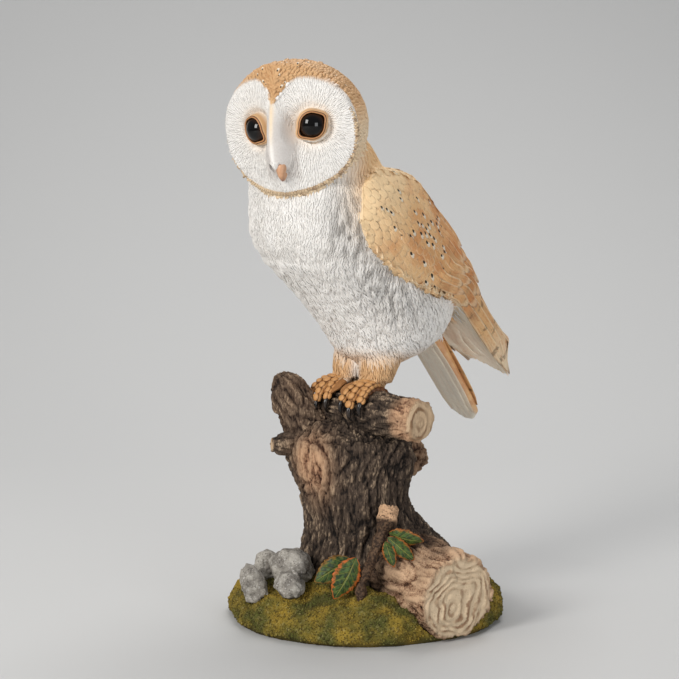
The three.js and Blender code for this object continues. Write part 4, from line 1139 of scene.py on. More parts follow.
LID_RINGS = [
    # reach from the eye's middle, height over the ball's middle towards the viewer
    (0.00580, 0.0042), (0.00600, 0.0052), (0.00628, 0.0056), (0.00652, 0.0052), (0.00672, 0.0046),
    (0.00697, 0.0047), (0.00728, 0.0041), (0.00758, 0.0027), (0.00790, 0.0006), (0.00825, -0.0012),
    (0.00860, -0.0032),
]
for side_name, side in (("left", 1), ("right", -1)):
    node = f"eye_{side_name}"
    eye_at = HEAD @ Vector(EYE_PLACES[side])
    out_way = (HEAD.to_3x3() @ Vector((side * EYE_LOOKS.x, EYE_LOOKS.y, EYE_LOOKS.z))).normalized()
    inner_way = HEAD.to_3x3() @ Vector((-side, 0, 0))
    inner_way = (inner_way - out_way * inner_way.dot(out_way)).normalized()
    up_way = out_way.cross(inner_way).normalized()
    if up_way.dot(HEAD.to_3x3() @ Vector((0, 0, 1))) < 0:
        up_way = -up_way
    ball = bmesh.new()
    bmesh.ops.create_uvsphere(ball, u_segments=48, v_segments=32, radius=EYE_RADIUS)
    bmesh.ops.translate(ball, verts=ball.verts, vec=eye_at)
    ball_mesh = as_mesh(ball, node + "_ball")
    reach = rows_of(ball_mesh.vertices, "co") - np.array(eye_at)
    off_pupil = reach - np.outer(reach @ np.array(out_way), np.array(out_way))
    write_values(ball_mesh, "from_pupil", np.linalg.norm(off_pupil, axis=1) / EYE_RADIUS)
    eyeball = new_object(node + "_ball", ball_mesh, eye_finish)
    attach(eyeball, "root")
    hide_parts(node)

    lid = bmesh.new()
    bmesh.ops.create_circle(lid, segments=LID_SIDES, radius=1)
    ring_edges = lid.edges[:]
    for _ in LID_RINGS[1:]:
        grown = bmesh.ops.extrude_edge_only(lid, edges=ring_edges)["geom"]
        ring_edges = [part for part in grown if isinstance(part, bmesh.types.BMEdge)]
    lid.verts.ensure_lookup_table()
    band = []
    for number, vert in enumerate(lid.verts):
        reach, stand = LID_RINGS[number // LID_SIDES]
        angle = np.arctan2(vert.co.y, vert.co.x)
        low_inner = max(0.0, cos(angle + radians(INNER_CORNER))) ** 14
        high_outer = max(0.0, cos(angle + radians(OUTER_CORNER))) ** 14
        corner = 0.27 * low_inner + 0.20 * high_outer
        almond = 1.0 + 0.05 * sin(angle) ** 2 + corner
        flat_way = inner_way * cos(angle) + up_way * sin(angle)
        vert.co = eye_at + flat_way * reach * almond + out_way * (stand - 0.0035 * corner)
        band.append(min(1, (number // LID_SIDES) / 8))
    bmesh.ops.recalc_face_normals(lid, faces=lid.faces)
    if all(face.normal.dot(out_way) < 0 for face in (lid.faces[0], lid.faces[len(lid.faces) // 2])):
        bmesh.ops.reverse_faces(lid, faces=lid.faces)
    lid_mesh = as_mesh(lid, f"eyelid_{side_name}")
    write_values(lid_mesh, "band", np.array(band))
    eyelid = new_object(f"eyelid_{side_name}", lid_mesh, lid_finish)
    shell = eyelid.modifiers.new("shell", "SOLIDIFY")
    shell.thickness, shell.offset = LID_THICKNESS, -1
    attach(eyelid, "root")


# ---- Beak ---------------------------------------------------------------------------------------
# A short hooked horn beak, cast with the head, comes out of the bristles under the bridge. Its upper
# half laps over a smaller lower one, and it is painted flesh-tan, browner at the base and tip.
BEAK_BASE, BEAK_TAN, BEAK_TIP, BEAK_WASH = (
    paint(170, 122, 90), paint(214, 168, 132), paint(150, 104, 84), paint(206, 180, 160),
)
UPPER_BEAK = [
    # in the head's frame: x, y, z, radius
    (0.0012, -0.0225, -0.0095, 0.0032),
    (0.0016, -0.0256, -0.0130, 0.0037),
    (0.0017, -0.0274, -0.0162, 0.0034),
    (0.0017, -0.0280, -0.0195, 0.0022),
    (0.0015, -0.0268, -0.0225, 0.0007),
]
LOWER_BEAK = [
    (0.0014, -0.0215, -0.0165, 0.0026),
    (0.0016, -0.0240, -0.0188, 0.0025),
    (0.0017, -0.0256, -0.0210, 0.0015),
    (0.0017, -0.0260, -0.0226, 0.0006),
]
LOWER_BEAK_PAINT = 0.6  # its tip is painted like a place that far down the upper half

beak_finish = Finish("beak_paint", Roughness=0.42, Specular_IOR_Level=0.5)
beak_along = beak_finish.value("down")
beak_colour = beak_along.step(0.05, 0.35).tint(BEAK_BASE, BEAK_TAN)
beak_colour = beak_along.step(0.72, 0.98).tint(beak_colour, BEAK_TIP)
beak_finish.set(Base_Color=(0.6 * beak_finish.grain(0.0014)).over(beak_colour, BEAK_WASH))
beak_finish.relief(beak_finish.grain(0.0008), 0.0001)


LEAST_RADIUS = 0.0002
OFF_EVERY_LIMB = np.array([0.03, 0.97, 0.23])  # a way that none of the limbs runs along


def limb(name, matrix, stations, sides, rings, squash=1.0):
    """A round limb through places of that frame with a radius each, closed at both ends, and how far
    along it each point is. Between the stations it runs on a smooth curve."""
    stations = np.array([(*placed(matrix, station[:3]), station[3]) for station in stations])
    at = np.linspace(0, len(stations) - 1, rings)
    low = np.clip(np.floor(at).astype(int), 0, len(stations) - 2)
    u = (at - low)[:, None]
    slope = np.gradient(stations, axis=0)
    smooth = (
        (2 * u**3 - 3 * u**2 + 1) * stations[low] + (u**3 - 2 * u**2 + u) * slope[low]
        + (3 * u**2 - 2 * u**3) * stations[low + 1] + (u**3 - u**2) * slope[low + 1]
    )
    line = smooth[:, :3]
    ahead = unit(np.gradient(line, axis=0))
    side = unit(np.cross(ahead, OFF_EVERY_LIMB))
    up = np.cross(side, ahead)
    points, faces = blade_shape(rings, sides)
    ring = np.rint(points[:, 0]).astype(int)
    radius = np.maximum(smooth[ring, 3:], LEAST_RADIUS)
    corners = line[ring] + radius * (side[ring] * points[:, 1:2] * squash + up[ring] * points[:, 2:3])
    shape = bmesh.new()
    made = [shape.verts.new(corner) for corner in corners]
    for face in faces:
        shape.faces.new([made[corner] for corner in face])
    bmesh.ops.recalc_face_normals(shape, faces=shape.faces)
    return as_mesh(shape, name), ring / (rings - 1)


upper_mesh, upper_down = limb("beak", HEAD, UPPER_BEAK, 20, 22, 0.82)
write_values(upper_mesh, "down", upper_down)
beak = new_object("beak_upper", upper_mesh, beak_finish)
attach(beak, "root")
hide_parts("beak")
lower_mesh, lower_down = limb("beak_lower", HEAD, LOWER_BEAK, 16, 14, 0.85)
write_values(lower_mesh, "down", lower_down * LOWER_BEAK_PAINT)
jaw = new_object("beak_lower", lower_mesh, beak_finish)
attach(jaw, "root")


# ---- Toes and claws -----------------------------------------------------------------------------
# Four stout toes on each foot grip the perch. Each is a string of knuckled scales, cast with the foot
# and painted orange-tan with brown in the joints, and ends in a hooked black claw.
PERCH_HEIGHT, PERCH_RADIUS, FOOT_SPACING = 0.113, 0.011, 0.013
TOES = {
    # name: degrees round the perch from its top, at the root and tip; spread; radius
    "inner": (-32, 66, -0.007, 0.0030),
    "middle": (-34, 76, 0.0003, 0.0033),
    "outer": (-32, 62, 0.0075, 0.0030),
    "hind": (-20, -78, -0.0015, 0.0028),
}
SCALES_ALONG = 7
SCALES_ROUND = [(0, 0.84), (-80, 0.50), (80, 0.50)]  # degrees round the toe, and width as a share of its own
PAD_DEGREES, PAD_SIZE, PAD_TONE = range(-50, 41, 15), (0.0078, 0.0032, 0.0028), 0.3
JOINT_BROWN, TOE_TAN, TOE_WASH = paint(116, 76, 44), paint(210, 160, 102), paint(214, 170, 130)

toe_finish = Finish("foot_paint", Roughness=0.5, Specular_IOR_Level=0.45)
toe_colour = toe_finish.value("ridge").step(0.20, 0.85).tint(JOINT_BROWN, TOE_TAN)
toe_finish.set(Base_Color=(0.5 * toe_finish.grain(0.0026)).over(toe_colour, TOE_WASH))
toe_finish.relief(toe_finish.grain(0.0007), 0.0001)


def round_perch(across, degrees, height):
    """A place in the owl's frame on the way round the perch: degrees forward from its top."""
    reach = PERCH_RADIUS + height
    return np.array([across, -reach * sin(radians(degrees)), PERCH_HEIGHT + reach * cos(radians(degrees))])


def knobs(name, middles, frames, sizes, tones, detail):
    """One mesh of small balls: each has a middle, three ways that it is drawn out along, three sizes
    and a tone. It is painted paler on its outer side."""
    ball = bmesh.new()
    bmesh.ops.create_icosphere(ball, subdivisions=detail, radius=1)
    points = np.array([vert.co[:] for vert in ball.verts])
    faces = np.array([[vert.index for vert in face.verts] for face in ball.faces])
    ball.free()
    corners = np.asarray(middles)[:, None] + np.einsum("vk,nk,nkd->nvd", points, sizes, frames)
    faces = (faces[None] + (np.arange(len(middles)) * len(points))[:, None, None]).reshape(-1, 3)
    mesh = bpy.data.meshes.new(name)
    mesh.from_pydata(corners.reshape(-1, 3).tolist(), [], faces.tolist())
    write_values(mesh, "ridge", (np.clip(0.45 + 0.6 * points[:, 2], 0, 1) * tones).ravel())
    return mesh


for side_name, side in (("left", 1), ("right", -1)):
    middles, frames, sizes = [], [], []
    for start, end, spread, radius in TOES.values():
        step = (PERCH_RADIUS + radius) * radians(abs(end - start)) / SCALES_ALONG
        for row in range(SCALES_ALONG):
            t = (row + 0.6) / SCALES_ALONG
            degrees = start + (end - start) * t
            across = side * FOOT_SPACING + side * spread * t**0.7
            girth = radius * (0.94 - 0.16 * t) * (1 + 0.06 * cos(t * 4 * pi))
            centre = round_perch(across, degrees, radius * 0.9 + 0.00035)
            outward = unit(round_perch(0, degrees, 1.0) - np.array([0, 0, PERCH_HEIGHT]))
            sideways = np.array([1.0, 0, 0])
            ahead = np.cross(outward, sideways)
            for turn, wide in SCALES_ROUND:
                out = outward * cos(radians(turn)) + sideways * sin(radians(turn))
                middles.append(centre + out * girth * 0.60 + ahead * step * rng.uniform(-0.12, 0.12))
                frames.append([np.cross(ahead, out), ahead, out])
                sizes.append(np.array([girth * wide, step * 0.62, girth * 0.46]) * rng.uniform(0.86, 1.14, 3))
    tones = 0.9 + 0.1 * rng.random((len(middles), 1))
    for degrees in PAD_DEGREES:  # the pad under the toes' roots
        middles.append(round_perch(side * FOOT_SPACING, degrees, 0.0010))
        frames.append(np.eye(3))
        sizes.append(PAD_SIZE)
    tones = np.concatenate([tones, np.full((len(PAD_DEGREES), 1), PAD_TONE)])
    frames = np.array(frames) @ np.array(OWL.to_3x3()).T
    foot_mesh = knobs(f"toe_scales_{side_name}", placed(OWL, middles), frames, np.array(sizes), tones, 2)
    toes = new_object(f"toe_scales_{side_name}", foot_mesh, toe_finish)
    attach(toes, "root")

CLAW_BLACK, CLAW_WORN = paint(20, 16, 14), paint(58, 46, 38)
CLAW_HOOK = [
    # degrees on past the toe's tip, height over the perch in toe radii, radius
    (-2, 1.15, 0.0014), (8, 1.25, 0.0015), (18, 1.15, 0.0011), (28, 0.8, 0.0006), (34, 0.45, 0.0002),
]
claw_finish = Finish("claw_paint", Roughness=0.28, Specular_IOR_Level=0.5)
claw_finish.set(Base_Color=claw_finish.grain(0.0016).step(0.35, 0.8).tint(CLAW_BLACK, CLAW_WORN))
claw_finish.relief(claw_finish.grain(0.0009), 0.00006)
for side_name, side in (("left", 1), ("right", -1)):
    for toe, (_, end, spread, radius) in TOES.items():
        way = 1 if end > 0 else -1
        across = side * (FOOT_SPACING + spread)
        stations = [(*round_perch(across, end + way * turn, radius * height), girth)
                    for turn, height, girth in CLAW_HOOK]
        node = f"claw_{side_name}_{toe}"
        claw_mesh, _ = limb(node + "_hook", OWL, stations, 12, 14)
        claw = new_object(node + "_hook", claw_mesh, claw_finish)
        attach(claw, "root")
        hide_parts(node)


# ---- Stump and branches -------------------------------------------------------------------------
# The tree stump, its knot and its three sawn branches are one casting. Deep furrows in the bark run up
# the stump and along each branch, and tan is dry-brushed over dark brown. The sawn ends show rings.
BARK_VOXEL, BARK_ROUNDS, BARK_DEPTH, FURROW_WIDTH, FURROW_LENGTH = 0.0008, 4, 0.0036, 0.0055, 0.024
BROKEN_FROM, BROKEN_OVER, BROKEN_NARROWING = 0.0395, 0.0095, 0.75


def unit_way(start, end):
    return (Vector(end) - Vector(start)).normalized()


PERCH_WAY = Vector((cos(radians(OWL_TURN)), sin(radians(OWL_TURN)), 0))
FEET = OWL_AT + Vector((0, 0, PERCH_HEIGHT))
LIMBS = {
    # name: a place on its axis, the way out along it, how far on it is sawn, and its radius there
    "stump": (Vector((-0.005, 0.002, 0.050)), Vector((0.05, 0, 1)).normalized(), None, 0.03),
    "left_branch": (Vector((-0.024, 0.007, 0.088)), unit_way((-24, 7, 88), (-46.5, 10, 130)), None, 0.0082),
    "right_stub": (Vector((0.008, 0.008, 0.082)), unit_way((8, 8, 82), (29, 14, 88)), 0.0226, 0.0084),
    "knot": (Vector((-0.034, 0.002, 0.093)), unit_way((-34, 2, 93), (-51, -2, 94.5)), 0.0175, 0.0034),
    "perch_branch": (FEET, PERCH_WAY, 0.053, PERCH_RADIUS),
}
BARK_PARTS = list(LIMBS)


def furrows(places, ahead, wide, long, seed):
    """Bark that runs along an axis: 0 in a furrow and 1 on a ridge."""
    ahead = np.array(ahead)
    far = places @ ahead
    where = (places - far[:, None] * ahead) / wide + (far / long)[:, None] * ahead + seed
    where = where + np.array([tuple(noise.noise_vector(Vector(p) / 0.022) * 0.9) for p in places.tolist()])
    value = np.array([noise.noise(Vector(p)) for p in where.tolist()])
    return np.clip(np.abs(value) * 3.2, 0, 1) ** 0.65


def wood_values(mesh, ridge, peel, cut, from_heart):
    write_values(mesh, "ridge", ridge)
    write_values(mesh, "peel", peel)
    write_values(mesh, "cut", cut)
    write_values(mesh, "from_heart", from_heart)


def wood_finish(name, grain_stretch, *, deep, bark, brushed, peeled_dark, peeled, end_dark, end_pale):
    """Painted bark with peeled patches and sawn ends, from the values at its points."""
    finish = Finish(name, Roughness=0.82, Specular_IOR_Level=0.22)
    fine = finish.grain(0.0009, 4.0, stretch=grain_stretch)
    patch = finish.grain(0.009, 2.0)
    height = finish.value("ridge") * 0.85 + (fine - 0.5) * 1.1
    colour = height.step(0.25, 0.70).tint(deep, bark)
    colour = (height.step(0.66, 0.95) * (0.35 + 0.8 * patch.step(0.40, 0.65))).tint(colour, brushed)
    bare = (height * 0.7 + patch * 0.45).step(0.32, 0.80).tint(peeled_dark, peeled)
    colour = finish.value("peel").tint(colour, bare)
    colour = (0.90 - 0.90 * height.step(0.08, 0.44)).tint(colour, deep)
    rings = (finish.value("from_heart") * 1500.0 + finish.grain(0.016, 3.0) * 18.0 + fine * 2.4).wave()
    end = (rings.step(0.30, 1.0) * (0.12 + 0.7 * patch.step(0.38, 0.62))).tint(end_pale, end_dark)
    end = ((1 - finish.value("ridge").step(0.05, 0.40)) * 0.55).tint(end, deep)
    end = (fine.step(0.55, 0.75) * 0.35).tint(end, end_dark)
    colour = finish.value("cut").tint(colour, end)
    finish.set(Base_Color=colour)
    finish.relief(fine * 0.8 + 0.5 * rings * finish.value("cut") + finish.grain(0.0004, 2.0) * 0.25, 0.0007)
    return finish


def carved(mesh, owner, limbs, depth, wide, long):
    """The places and normals of a fused mesh's points, where its bark's furrows and its ends' rings move
    them to, and each one's height on the bark, share of a sawn end and distance from the heart."""
    places, outs = rows_of(mesh.vertices, "co"), rows_of(mesh.vertices, "normal")
    ridge, cut, heart = np.zeros(len(places)), np.zeros(len(places)), np.zeros(len(places))
    for number, (name, (start, ahead, end, radius)) in enumerate(limbs.items()):
        mine = owner == number
        start, ahead = np.array(start + CENTRED), np.array(ahead)
        here = places[mine]
        coarse = furrows(here, ahead, wide, long, number * 3.1)
        small = furrows(here, ahead, wide * 0.40, long * 0.45, 7 + number)
        tiny = furrows(here, ahead, wide * 0.20, long * 0.22, 3 + number)
        ridge[mine] = 0.46 * coarse + 0.40 * small + 0.14 * tiny
        far = (here - start) @ ahead
        off_axis = here - start - far[:, None] * ahead
        if name == "left_branch":  # its end is broken off round, not sawn
            beyond = np.clip((far - BROKEN_FROM) / BROKEN_OVER, 0, 1)
            places[mine] = here - off_axis * (BROKEN_NARROWING * beyond**2.2)[:, None]
        twist = np.array([tuple(noise.noise_vector(Vector(place) / 0.011)) for place in here.tolist()])
        swirled = off_axis + 0.20 * radius * twist + np.array((0.1, 0, 0.15)) * radius
        heart[mine] = np.linalg.norm(swirled, axis=1)
        if end is not None:
            sawn = ease(end - 0.0016, end - 0.0007, far)
            cut[mine] = sawn * ease(radius * 1.02, radius * 0.86, np.linalg.norm(off_axis, axis=1))
    shape = (ridge - 0.62) * depth * (1 - 0.9 * cut)
    swirl = heart * 620 + 7 * cloud(places, 0.014, 6)
    shape += cut * 0.0007 * (np.abs(np.cos(swirl)) + 1.6 * cloud(places, 0.004, 9) - 1.1)
    return places, outs, places + outs * shape[:, None], ridge, cut, heart


bark_mesh, bark_tree, bark_owner = fused("bark", BARK_PARTS, BARK_VOXEL, BARK_ROUNDS)
bark_part = bark_owner[nearest(bark_tree, rows_of(bark_mesh.vertices, "co"))[2]]
places, outs, moved, ridge_at, cut_at, heart_at = carved(
    bark_mesh, bark_part, LIMBS, BARK_DEPTH, FURROW_WIDTH, FURROW_LENGTH
)
# the bark has come off in a patch on the stump, by the perch's end and here and there on two stubs
PATCH_AT, PATCH_SIZE, PATCH_SQUASH = np.array((-0.031, -0.014, 0.084)), 0.010, (1, 1, 0.6)
BARK_FOOT = 0.002  # it stays this far over the table
on_branch, on_stub, on_perch = (
    bark_part == BARK_PARTS.index(name) for name in ("left_branch", "right_stub", "perch_branch")
)
raw = places - np.array(CENTRED)
perch_along = (raw - np.array(FEET)) @ np.array(PERCH_WAY)
bark_peel = blot(raw * PATCH_SQUASH, PATCH_AT * PATCH_SQUASH, PATCH_SIZE) * 1.3
bark_peel = np.maximum(bark_peel, 0.9 * ease(0.036, 0.046, perch_along) * on_perch)
bark_peel = np.maximum(bark_peel, 0.12 * on_branch + 0.42 * on_stub)
bark_peel = np.clip(bark_peel * (0.6 + 0.8 * cloud(places, 0.006, 4)), 0, 1)
lumpy = (cloud(places, 0.0050, 31) - 0.5) * 0.0034 + (cloud(places, 0.0020, 35) - 0.5) * 0.0014
moved += outs * (lumpy * bark_peel * (1 - cut_at))[:, None]
moved[:, 2] = np.maximum(moved[:, 2], BARK_FOOT)
move_points(bark_mesh, moved)
wood_values(bark_mesh, ridge_at, bark_peel, cut_at, heart_at)
bark_finish = wood_finish(
    "bark_paint", (1, 1, 0.35), deep=paint(24, 19, 16), bark=paint(76, 63, 53), brushed=paint(160, 138, 114),
    peeled_dark=paint(104, 66, 48), peeled=paint(200, 160, 126), end_dark=paint(120, 86, 58),
    end_pale=paint(200, 172, 140),
)
bark = new_object("bark", bark_mesh, bark_finish)
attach(bark, "root")
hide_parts(*BARK_PARTS)


# ---- Fallen log ---------------------------------------------------------------------------------
# A short sawn log lies in front of the stump, cast with it. Most of its bark is gone or pale, its front
# face shows wide worn rings with a few cracks, and it is painted cream and tan over brown.
LOG_TURN, LOG_RADIUS, LOG_VOXEL, LOG_ROUNDS = radians(34), 0.0224, 0.0009, 4
LOG_WAY = Vector((sin(LOG_TURN), -cos(LOG_TURN), 0))
LOG_FACE = Vector((0.046, -0.0515, 0.0228))
LOG_DEPTH, LOG_FURROW_WIDTH, LOG_FURROW_LENGTH, CRACK_DEPTH = 0.0046, 0.0080, 0.034, 0.0009

log_mesh, _, _ = fused("log", ["log"], LOG_VOXEL, LOG_ROUNDS)
places, outs, moved, ridge_at, cut_at, heart_at = carved(
    log_mesh, np.zeros(len(log_mesh.vertices)), {"log": (LOG_FACE, LOG_WAY, 0.0, LOG_RADIUS)},
    LOG_DEPTH, LOG_FURROW_WIDTH, LOG_FURROW_LENGTH,
)
raw = places - np.array(CENTRED)
off_face = raw - np.array(LOG_FACE)
round_face = np.arctan2(off_face[:, 2], off_face @ np.array((LOG_WAY.y, -LOG_WAY.x, 0)))
cracks = np.abs(((round_face * 2.5 / pi + 0.6 * cloud(places, 0.012, 9)) % 1) - 0.5) * heart_at
crack_share = 0.6 * cut_at * ease(0.0006, 0.0001, cracks) * ease(0.009, 0.016, heart_at)
moved -= outs * (CRACK_DEPTH * crack_share)[:, None]
log_back = -off_face @ np.array(LOG_WAY)
log_peel = ease(0.050, 0.014, log_back) * (0.35 + cloud(places, 0.010, 15))
log_peel = np.clip(log_peel - 0.5 * ease(0.036, 0.046, raw[:, 2]) * ease(0.006, 0.016, log_back), 0, 1)
move_points(log_mesh, moved)
wood_values(log_mesh, ridge_at * (1 - 0.8 * crack_share), log_peel, cut_at, heart_at)
log_finish = wood_finish(
    "log_paint", (1, 1, 1), deep=paint(30, 22, 18), bark=paint(86, 66, 52), brushed=paint(170, 140, 112),
    peeled_dark=paint(112, 74, 52), peeled=paint(212, 176, 142), end_dark=paint(132, 94, 66),
    end_pale=paint(218, 194, 162),
)
fallen = new_object("fallen_log", log_mesh, log_finish)
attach(fallen, "root")
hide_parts("log")


# ---- Mossy ground -------------------------------------------------------------------------------
# The oval foot is cast as a low mound of moss and earth. Its granular moss is modelled as thousands of
# small crumbs, painted dark olive and then dry-brushed in ochre and green.
MOSS_OLIVE, MOSS_OCHRE, MOSS_DRY, MOSS_DEEP = (
    paint(86, 86, 42), paint(156, 130, 52), paint(168, 156, 104), paint(58, 48, 26),
)
GROUND_VOXEL, GROUND_ROUNDS = 0.0014, 3
BARE_FOOT, CRUMB_SPACING, CRUMB_LEAST, CRUMB_EXTRA = 0.0022, 0.00105, 0.00045, 0.00060

moss_finish = Finish("moss_paint", Roughness=0.9, Specular_IOR_Level=0.15)
moss_fine = moss_finish.grain(0.0016, 3.0)
moss_colour = moss_finish.grain(0.014, 5.0).step(0.34, 0.68).tint(MOSS_OLIVE, MOSS_OCHRE)
moss_colour = (moss_fine.step(0.52, 0.75) * 0.5).tint(moss_colour, MOSS_DRY)
moss_colour = (0.75 - 0.75 * moss_finish.value("ridge").step(0.0, 0.65)).tint(moss_colour, MOSS_DEEP)
moss_finish.set(Base_Color=moss_colour)
moss_finish.relief(moss_fine, 0.0006)

ground_mesh, _, _ = fused("ground", ["ground"], GROUND_VOXEL, GROUND_ROUNDS)
places, outs = rows_of(ground_mesh.vertices, "co"), rows_of(ground_mesh.vertices, "normal")
hills = (cloud(places, 0.018, 2) - 0.5) * 0.0062 + (cloud(places, 0.005, 6) - 0.5) * 0.0026
hills *= ease(0.0005, 0.0040, places[:, 2])
ground_at = places + outs * hills[:, None]
move_points(ground_mesh, ground_at)
ground_mesh.update()
write_values(ground_mesh, "ridge", np.clip(0.45 + hills * 160, 0, 1) * ease(-0.001, 0.006, places[:, 2]))
ground = new_object("mossy_ground", ground_mesh, moss_finish)
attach(ground, "root")
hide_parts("ground")

ground_corners = np.array([tuple(face.vertices) for face in ground_mesh.polygons if len(face.vertices) == 4])
upper = ground_at[ground_corners].mean(1)[:, 2] > BARE_FOOT
ground_surface = (ground_at, ground_corners, np.zeros(len(ground_corners), int))
roots, _ = scattered(upper, CRUMB_SPACING, 3, ground_surface)
count = len(roots)
crumb_sizes = CRUMB_LEAST + CRUMB_EXTRA * rng.random((count, 1)) ** 2
crumb_sizes = crumb_sizes * (0.75 + 0.5 * rng.random((count, 3)))
turns = rng.normal(size=(count, 3, 3))
first_way = unit(turns[:, 0])
second_way = unit(np.cross(first_way, turns[:, 1]))
frames = np.stack([first_way, second_way, np.cross(first_way, second_way)], 1)
crumb_mesh = knobs("moss_crumbs", roots, frames, crumb_sizes, 0.9 + 0.5 * rng.random((count, 1)), 1)
crumbs = new_object("moss_crumbs", crumb_mesh, moss_finish)
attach(crumbs, "root")


# ---- Rocks --------------------------------------------------------------------------------------
# Four small boulders by the stump's foot, cast with the ground and painted pale grey, darker in their
# hollows and flecked with black and white.
ROCK_GREY, ROCK_PALE, ROCK_HOLLOW = paint(128, 122, 114), paint(176, 170, 160), paint(58, 54, 48)
FLECK_WHITE, FLECK_BLACK = paint(206, 202, 196), paint(44, 42, 40)
ROCK_VOXEL, ROCK_ROUNDS, CREASE_DEPTH = 0.0008, 4, 0.0008

rock_finish = Finish("rock_paint", Roughness=0.8, Specular_IOR_Level=0.3)
rock_fleck = rock_finish.grain(0.0009, 3.0)
rock_colour = rock_finish.grain(0.006, 2.0).step(0.35, 0.65).tint(ROCK_GREY, ROCK_PALE)
rock_colour = (1 - rock_finish.value("ridge").step(0.1, 0.6)).tint(rock_colour, ROCK_HOLLOW)
rock_colour = (rock_fleck.step(0.58, 0.70) * 0.7).tint(rock_colour, FLECK_WHITE)
rock_colour = ((1 - rock_fleck.step(0.30, 0.40)) * 0.8).tint(rock_colour, FLECK_BLACK)
rock_finish.set(Base_Color=rock_colour)
rock_finish.relief(rock_finish.grain(0.0014, 4.0), 0.0008)
for rock in ("rock_large", "rock_front", "rock_left", "rock_back"):
    rock_mesh, _, _ = fused(rock + "_stone", [rock], ROCK_VOXEL, ROCK_ROUNDS)
    places, outs = rows_of(rock_mesh.vertices, "co"), rows_of(rock_mesh.vertices, "normal")
    lumps = (cloud(places, 0.0095, 12) - 0.5) * 0.0030 + (cloud(places, 0.0026, 19) - 0.5) * 0.0012
    crease = np.abs(cloud(places, 0.0085, 27) - 0.5)
    lumps -= CREASE_DEPTH * ease(0.030, 0.0, crease)
    move_points(rock_mesh, places + outs * lumps[:, None])
    write_values(rock_mesh, "ridge", np.clip(0.6 + lumps * 260, 0, 1))
    stone = new_object(rock + "_stone", rock_mesh, rock_finish)
    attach(stone, "root")
    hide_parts(rock)


# ---- Twig and leaves ----------------------------------------------------------------------------
# A broken twig with a pale knob stands between the stump and the log, and five thin toothed leaves
# grow from its foot and neck. They are painted dark green with orange-brown edges.
TWIG = [
    # x, y, z, radius in millimetres
    (-4.5, -47, 19, 2.8), (-2, -43.5, 32, 2.5), (3.5, -37, 44, 2.6), (7.5, -32.5, 52, 3.6),
    (9.4, -29.8, 58, 4.9), (10.4, -28, 63, 5.0), (10.9, -27, 66.5, 3.9),
]
TWIG_WAY, TWIG_FURROW_WIDTH, TWIG_FURROW_LENGTH = (0.3, 0.3, 0.9), 0.0024, 0.010
TWIG_DARK, TWIG_BROWN, KNOB_TAN, TWIG_DEEP = (
    paint(48, 35, 27), paint(104, 80, 60), paint(208, 168, 132), paint(60, 42, 32),
)
MM = 0.001

twig_finish = Finish("twig_paint", Roughness=0.75, Specular_IOR_Level=0.25)
twig_fine = twig_finish.grain(0.0012, 3.0)
twig_colour = twig_fine.step(0.35, 0.70).tint(TWIG_DARK, TWIG_BROWN)
on_knob = twig_finish.value("up").step(0.66, 0.74) * twig_fine.step(0.28, 0.45)
twig_colour = on_knob.tint(twig_colour, KNOB_TAN)
twig_colour = (0.8 - 0.8 * twig_finish.value("ridge").step(0.10, 0.50)).tint(twig_colour, TWIG_DEEP)
twig_finish.set(Base_Color=twig_colour)
twig_finish.relief(twig_fine, 0.0008)
twig_mesh, twig_up = limb("twig", Matrix.Translation((CENTRED.x, CENTRED.y, 0)), np.array(TWIG) * MM, 24, 60)
places, outs = rows_of(twig_mesh.vertices, "co"), rows_of(twig_mesh.vertices, "normal")
twig_ridge = furrows(places, TWIG_WAY, TWIG_FURROW_WIDTH, TWIG_FURROW_LENGTH, 5)
knots = (cloud(places, 0.0042, 41) - 0.5) * 0.0034
knots += (twig_ridge - 0.5) * (0.0006 + 0.0012 * ease(0.6, 0.75, twig_up))
move_points(twig_mesh, places + outs * knots[:, None])
write_values(twig_mesh, "up", twig_up)
write_values(twig_mesh, "ridge", twig_ridge)
twig = new_object("broken_twig", twig_mesh, twig_finish)
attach(twig, "root")
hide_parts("twig")

LEAF_DARK, LEAF_GREEN, LEAF_VEIN, LEAF_RUST = (
    paint(34, 52, 22), paint(74, 98, 40), paint(150, 150, 70), paint(190, 98, 36),
)
LEAF_THICKNESS, LEAF_TEETH, LEAF_BOW, LEAF_DROOP, LEAF_WAVE = 0.0007, 9, 0.0022, 0.0016, 0.0005

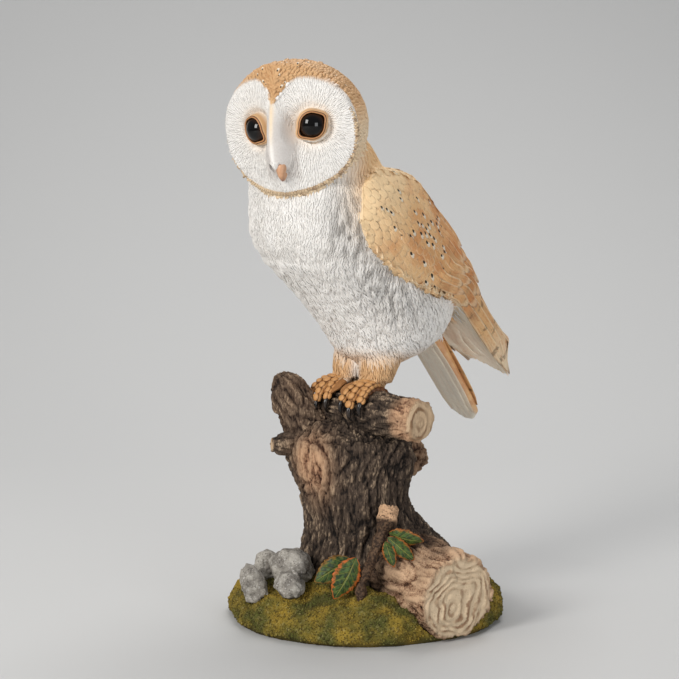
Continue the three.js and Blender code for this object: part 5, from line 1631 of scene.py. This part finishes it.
leaf_finish = Finish("leaf_paint", Roughness=0.55, Specular_IOR_Level=0.4)
leaf_along, leaf_side = leaf_finish.start.node("UVMap", {"uv_map": "blade"}).parts()
leaf_across, leaf_fine = abs(leaf_side), leaf_finish.grain(0.0018, 3.0)
side_veins = ((leaf_along * 7.0 - leaf_across * 1.7) * tau).wave().step(0.86, 0.99)
veins = side_veins * 0.6 + (1 - leaf_across.step(0.03, 0.10))
leaf_colour = leaf_fine.step(0.35, 0.65).tint(LEAF_DARK, LEAF_GREEN)
leaf_colour = (veins * 0.5).tint(leaf_colour, LEAF_VEIN)
rusty = (leaf_across + (leaf_fine - 0.5) * 0.9).step(0.66, 0.95)
leaf_colour = (rusty * leaf_finish.value("rust")).tint(leaf_colour, LEAF_RUST)
leaf_finish.set(Base_Color=leaf_colour)
leaf_finish.relief(1 - veins, 0.0005)
LEAVES = {
    # name: foot and tip in millimetres, width, how rusty its edge is
    "front": ((-6.5, -45.5, 43), (-18, -49, 22), 14, 1.0),
    "back": ((-9, -37, 40), (-28, -41.5, 29), 13, 0.35),
    "upper": ((11, -36, 54), (29, -40, 50.5), 9, 0.6),
    "middle": ((10, -38, 52), (24, -44, 41), 8, 0.7),
    "small": ((9, -39, 50), (13.5, -46, 38), 6.5, 0.8),
}
for leaf_name, (foot, tip, width, rust) in LEAVES.items():
    node = "leaf_" + leaf_name
    spread = np.array([vert.co[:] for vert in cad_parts[node].data.vertices])
    thinnest = np.linalg.svd(spread - spread.mean(0), full_matrices=False)[2][2]
    foot, tip = np.array(foot) * MM + np.array(CENTRED), np.array(tip) * MM + np.array(CENTRED)
    ahead = unit(tip - foot)
    up = unit(thinnest - ahead * (thinnest @ ahead))
    up = up if up[1] < 0 else -up
    sideways = np.cross(ahead, up)
    blade = bmesh.new()
    bmesh.ops.create_grid(blade, x_segments=56, y_segments=14, size=1)
    uv_of = {}
    for vert in blade.verts:
        t, u = 0.5 + 0.5 * vert.co.x, vert.co.y
        uv_of[vert.index] = (t, u)
        half = 0.5 * width * MM * sin(pi * min(t, 0.999) ** 0.86) ** 0.8
        tooth = 1 + 0.16 * (((t * LEAF_TEETH) % 1) - 0.4) * abs(u) ** 5
        bow = (LEAF_BOW - LEAF_DROOP * abs(u) ** 1.3) * sin(pi * t) + LEAF_WAVE * sin(t * 21) * u * u
        vert.co = Vector(foot + (tip - foot) * t + sideways * u * half * tooth + up * bow)
    uv_layer = blade.loops.layers.uv.new("blade")
    for face in blade.faces:
        for loop in face.loops:
            loop[uv_layer].uv = uv_of[loop.vert.index]
    leaf_mesh = as_mesh(blade, node + "_blade")
    write_values(leaf_mesh, "rust", np.full(len(leaf_mesh.vertices), rust))
    leaf = new_object(node + "_blade", leaf_mesh, leaf_finish)
    thick = leaf.modifiers.new("thick", "SOLIDIFY")
    thick.thickness, thick.offset = LEAF_THICKNESS, 0
    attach(leaf, "root")
    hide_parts(node)
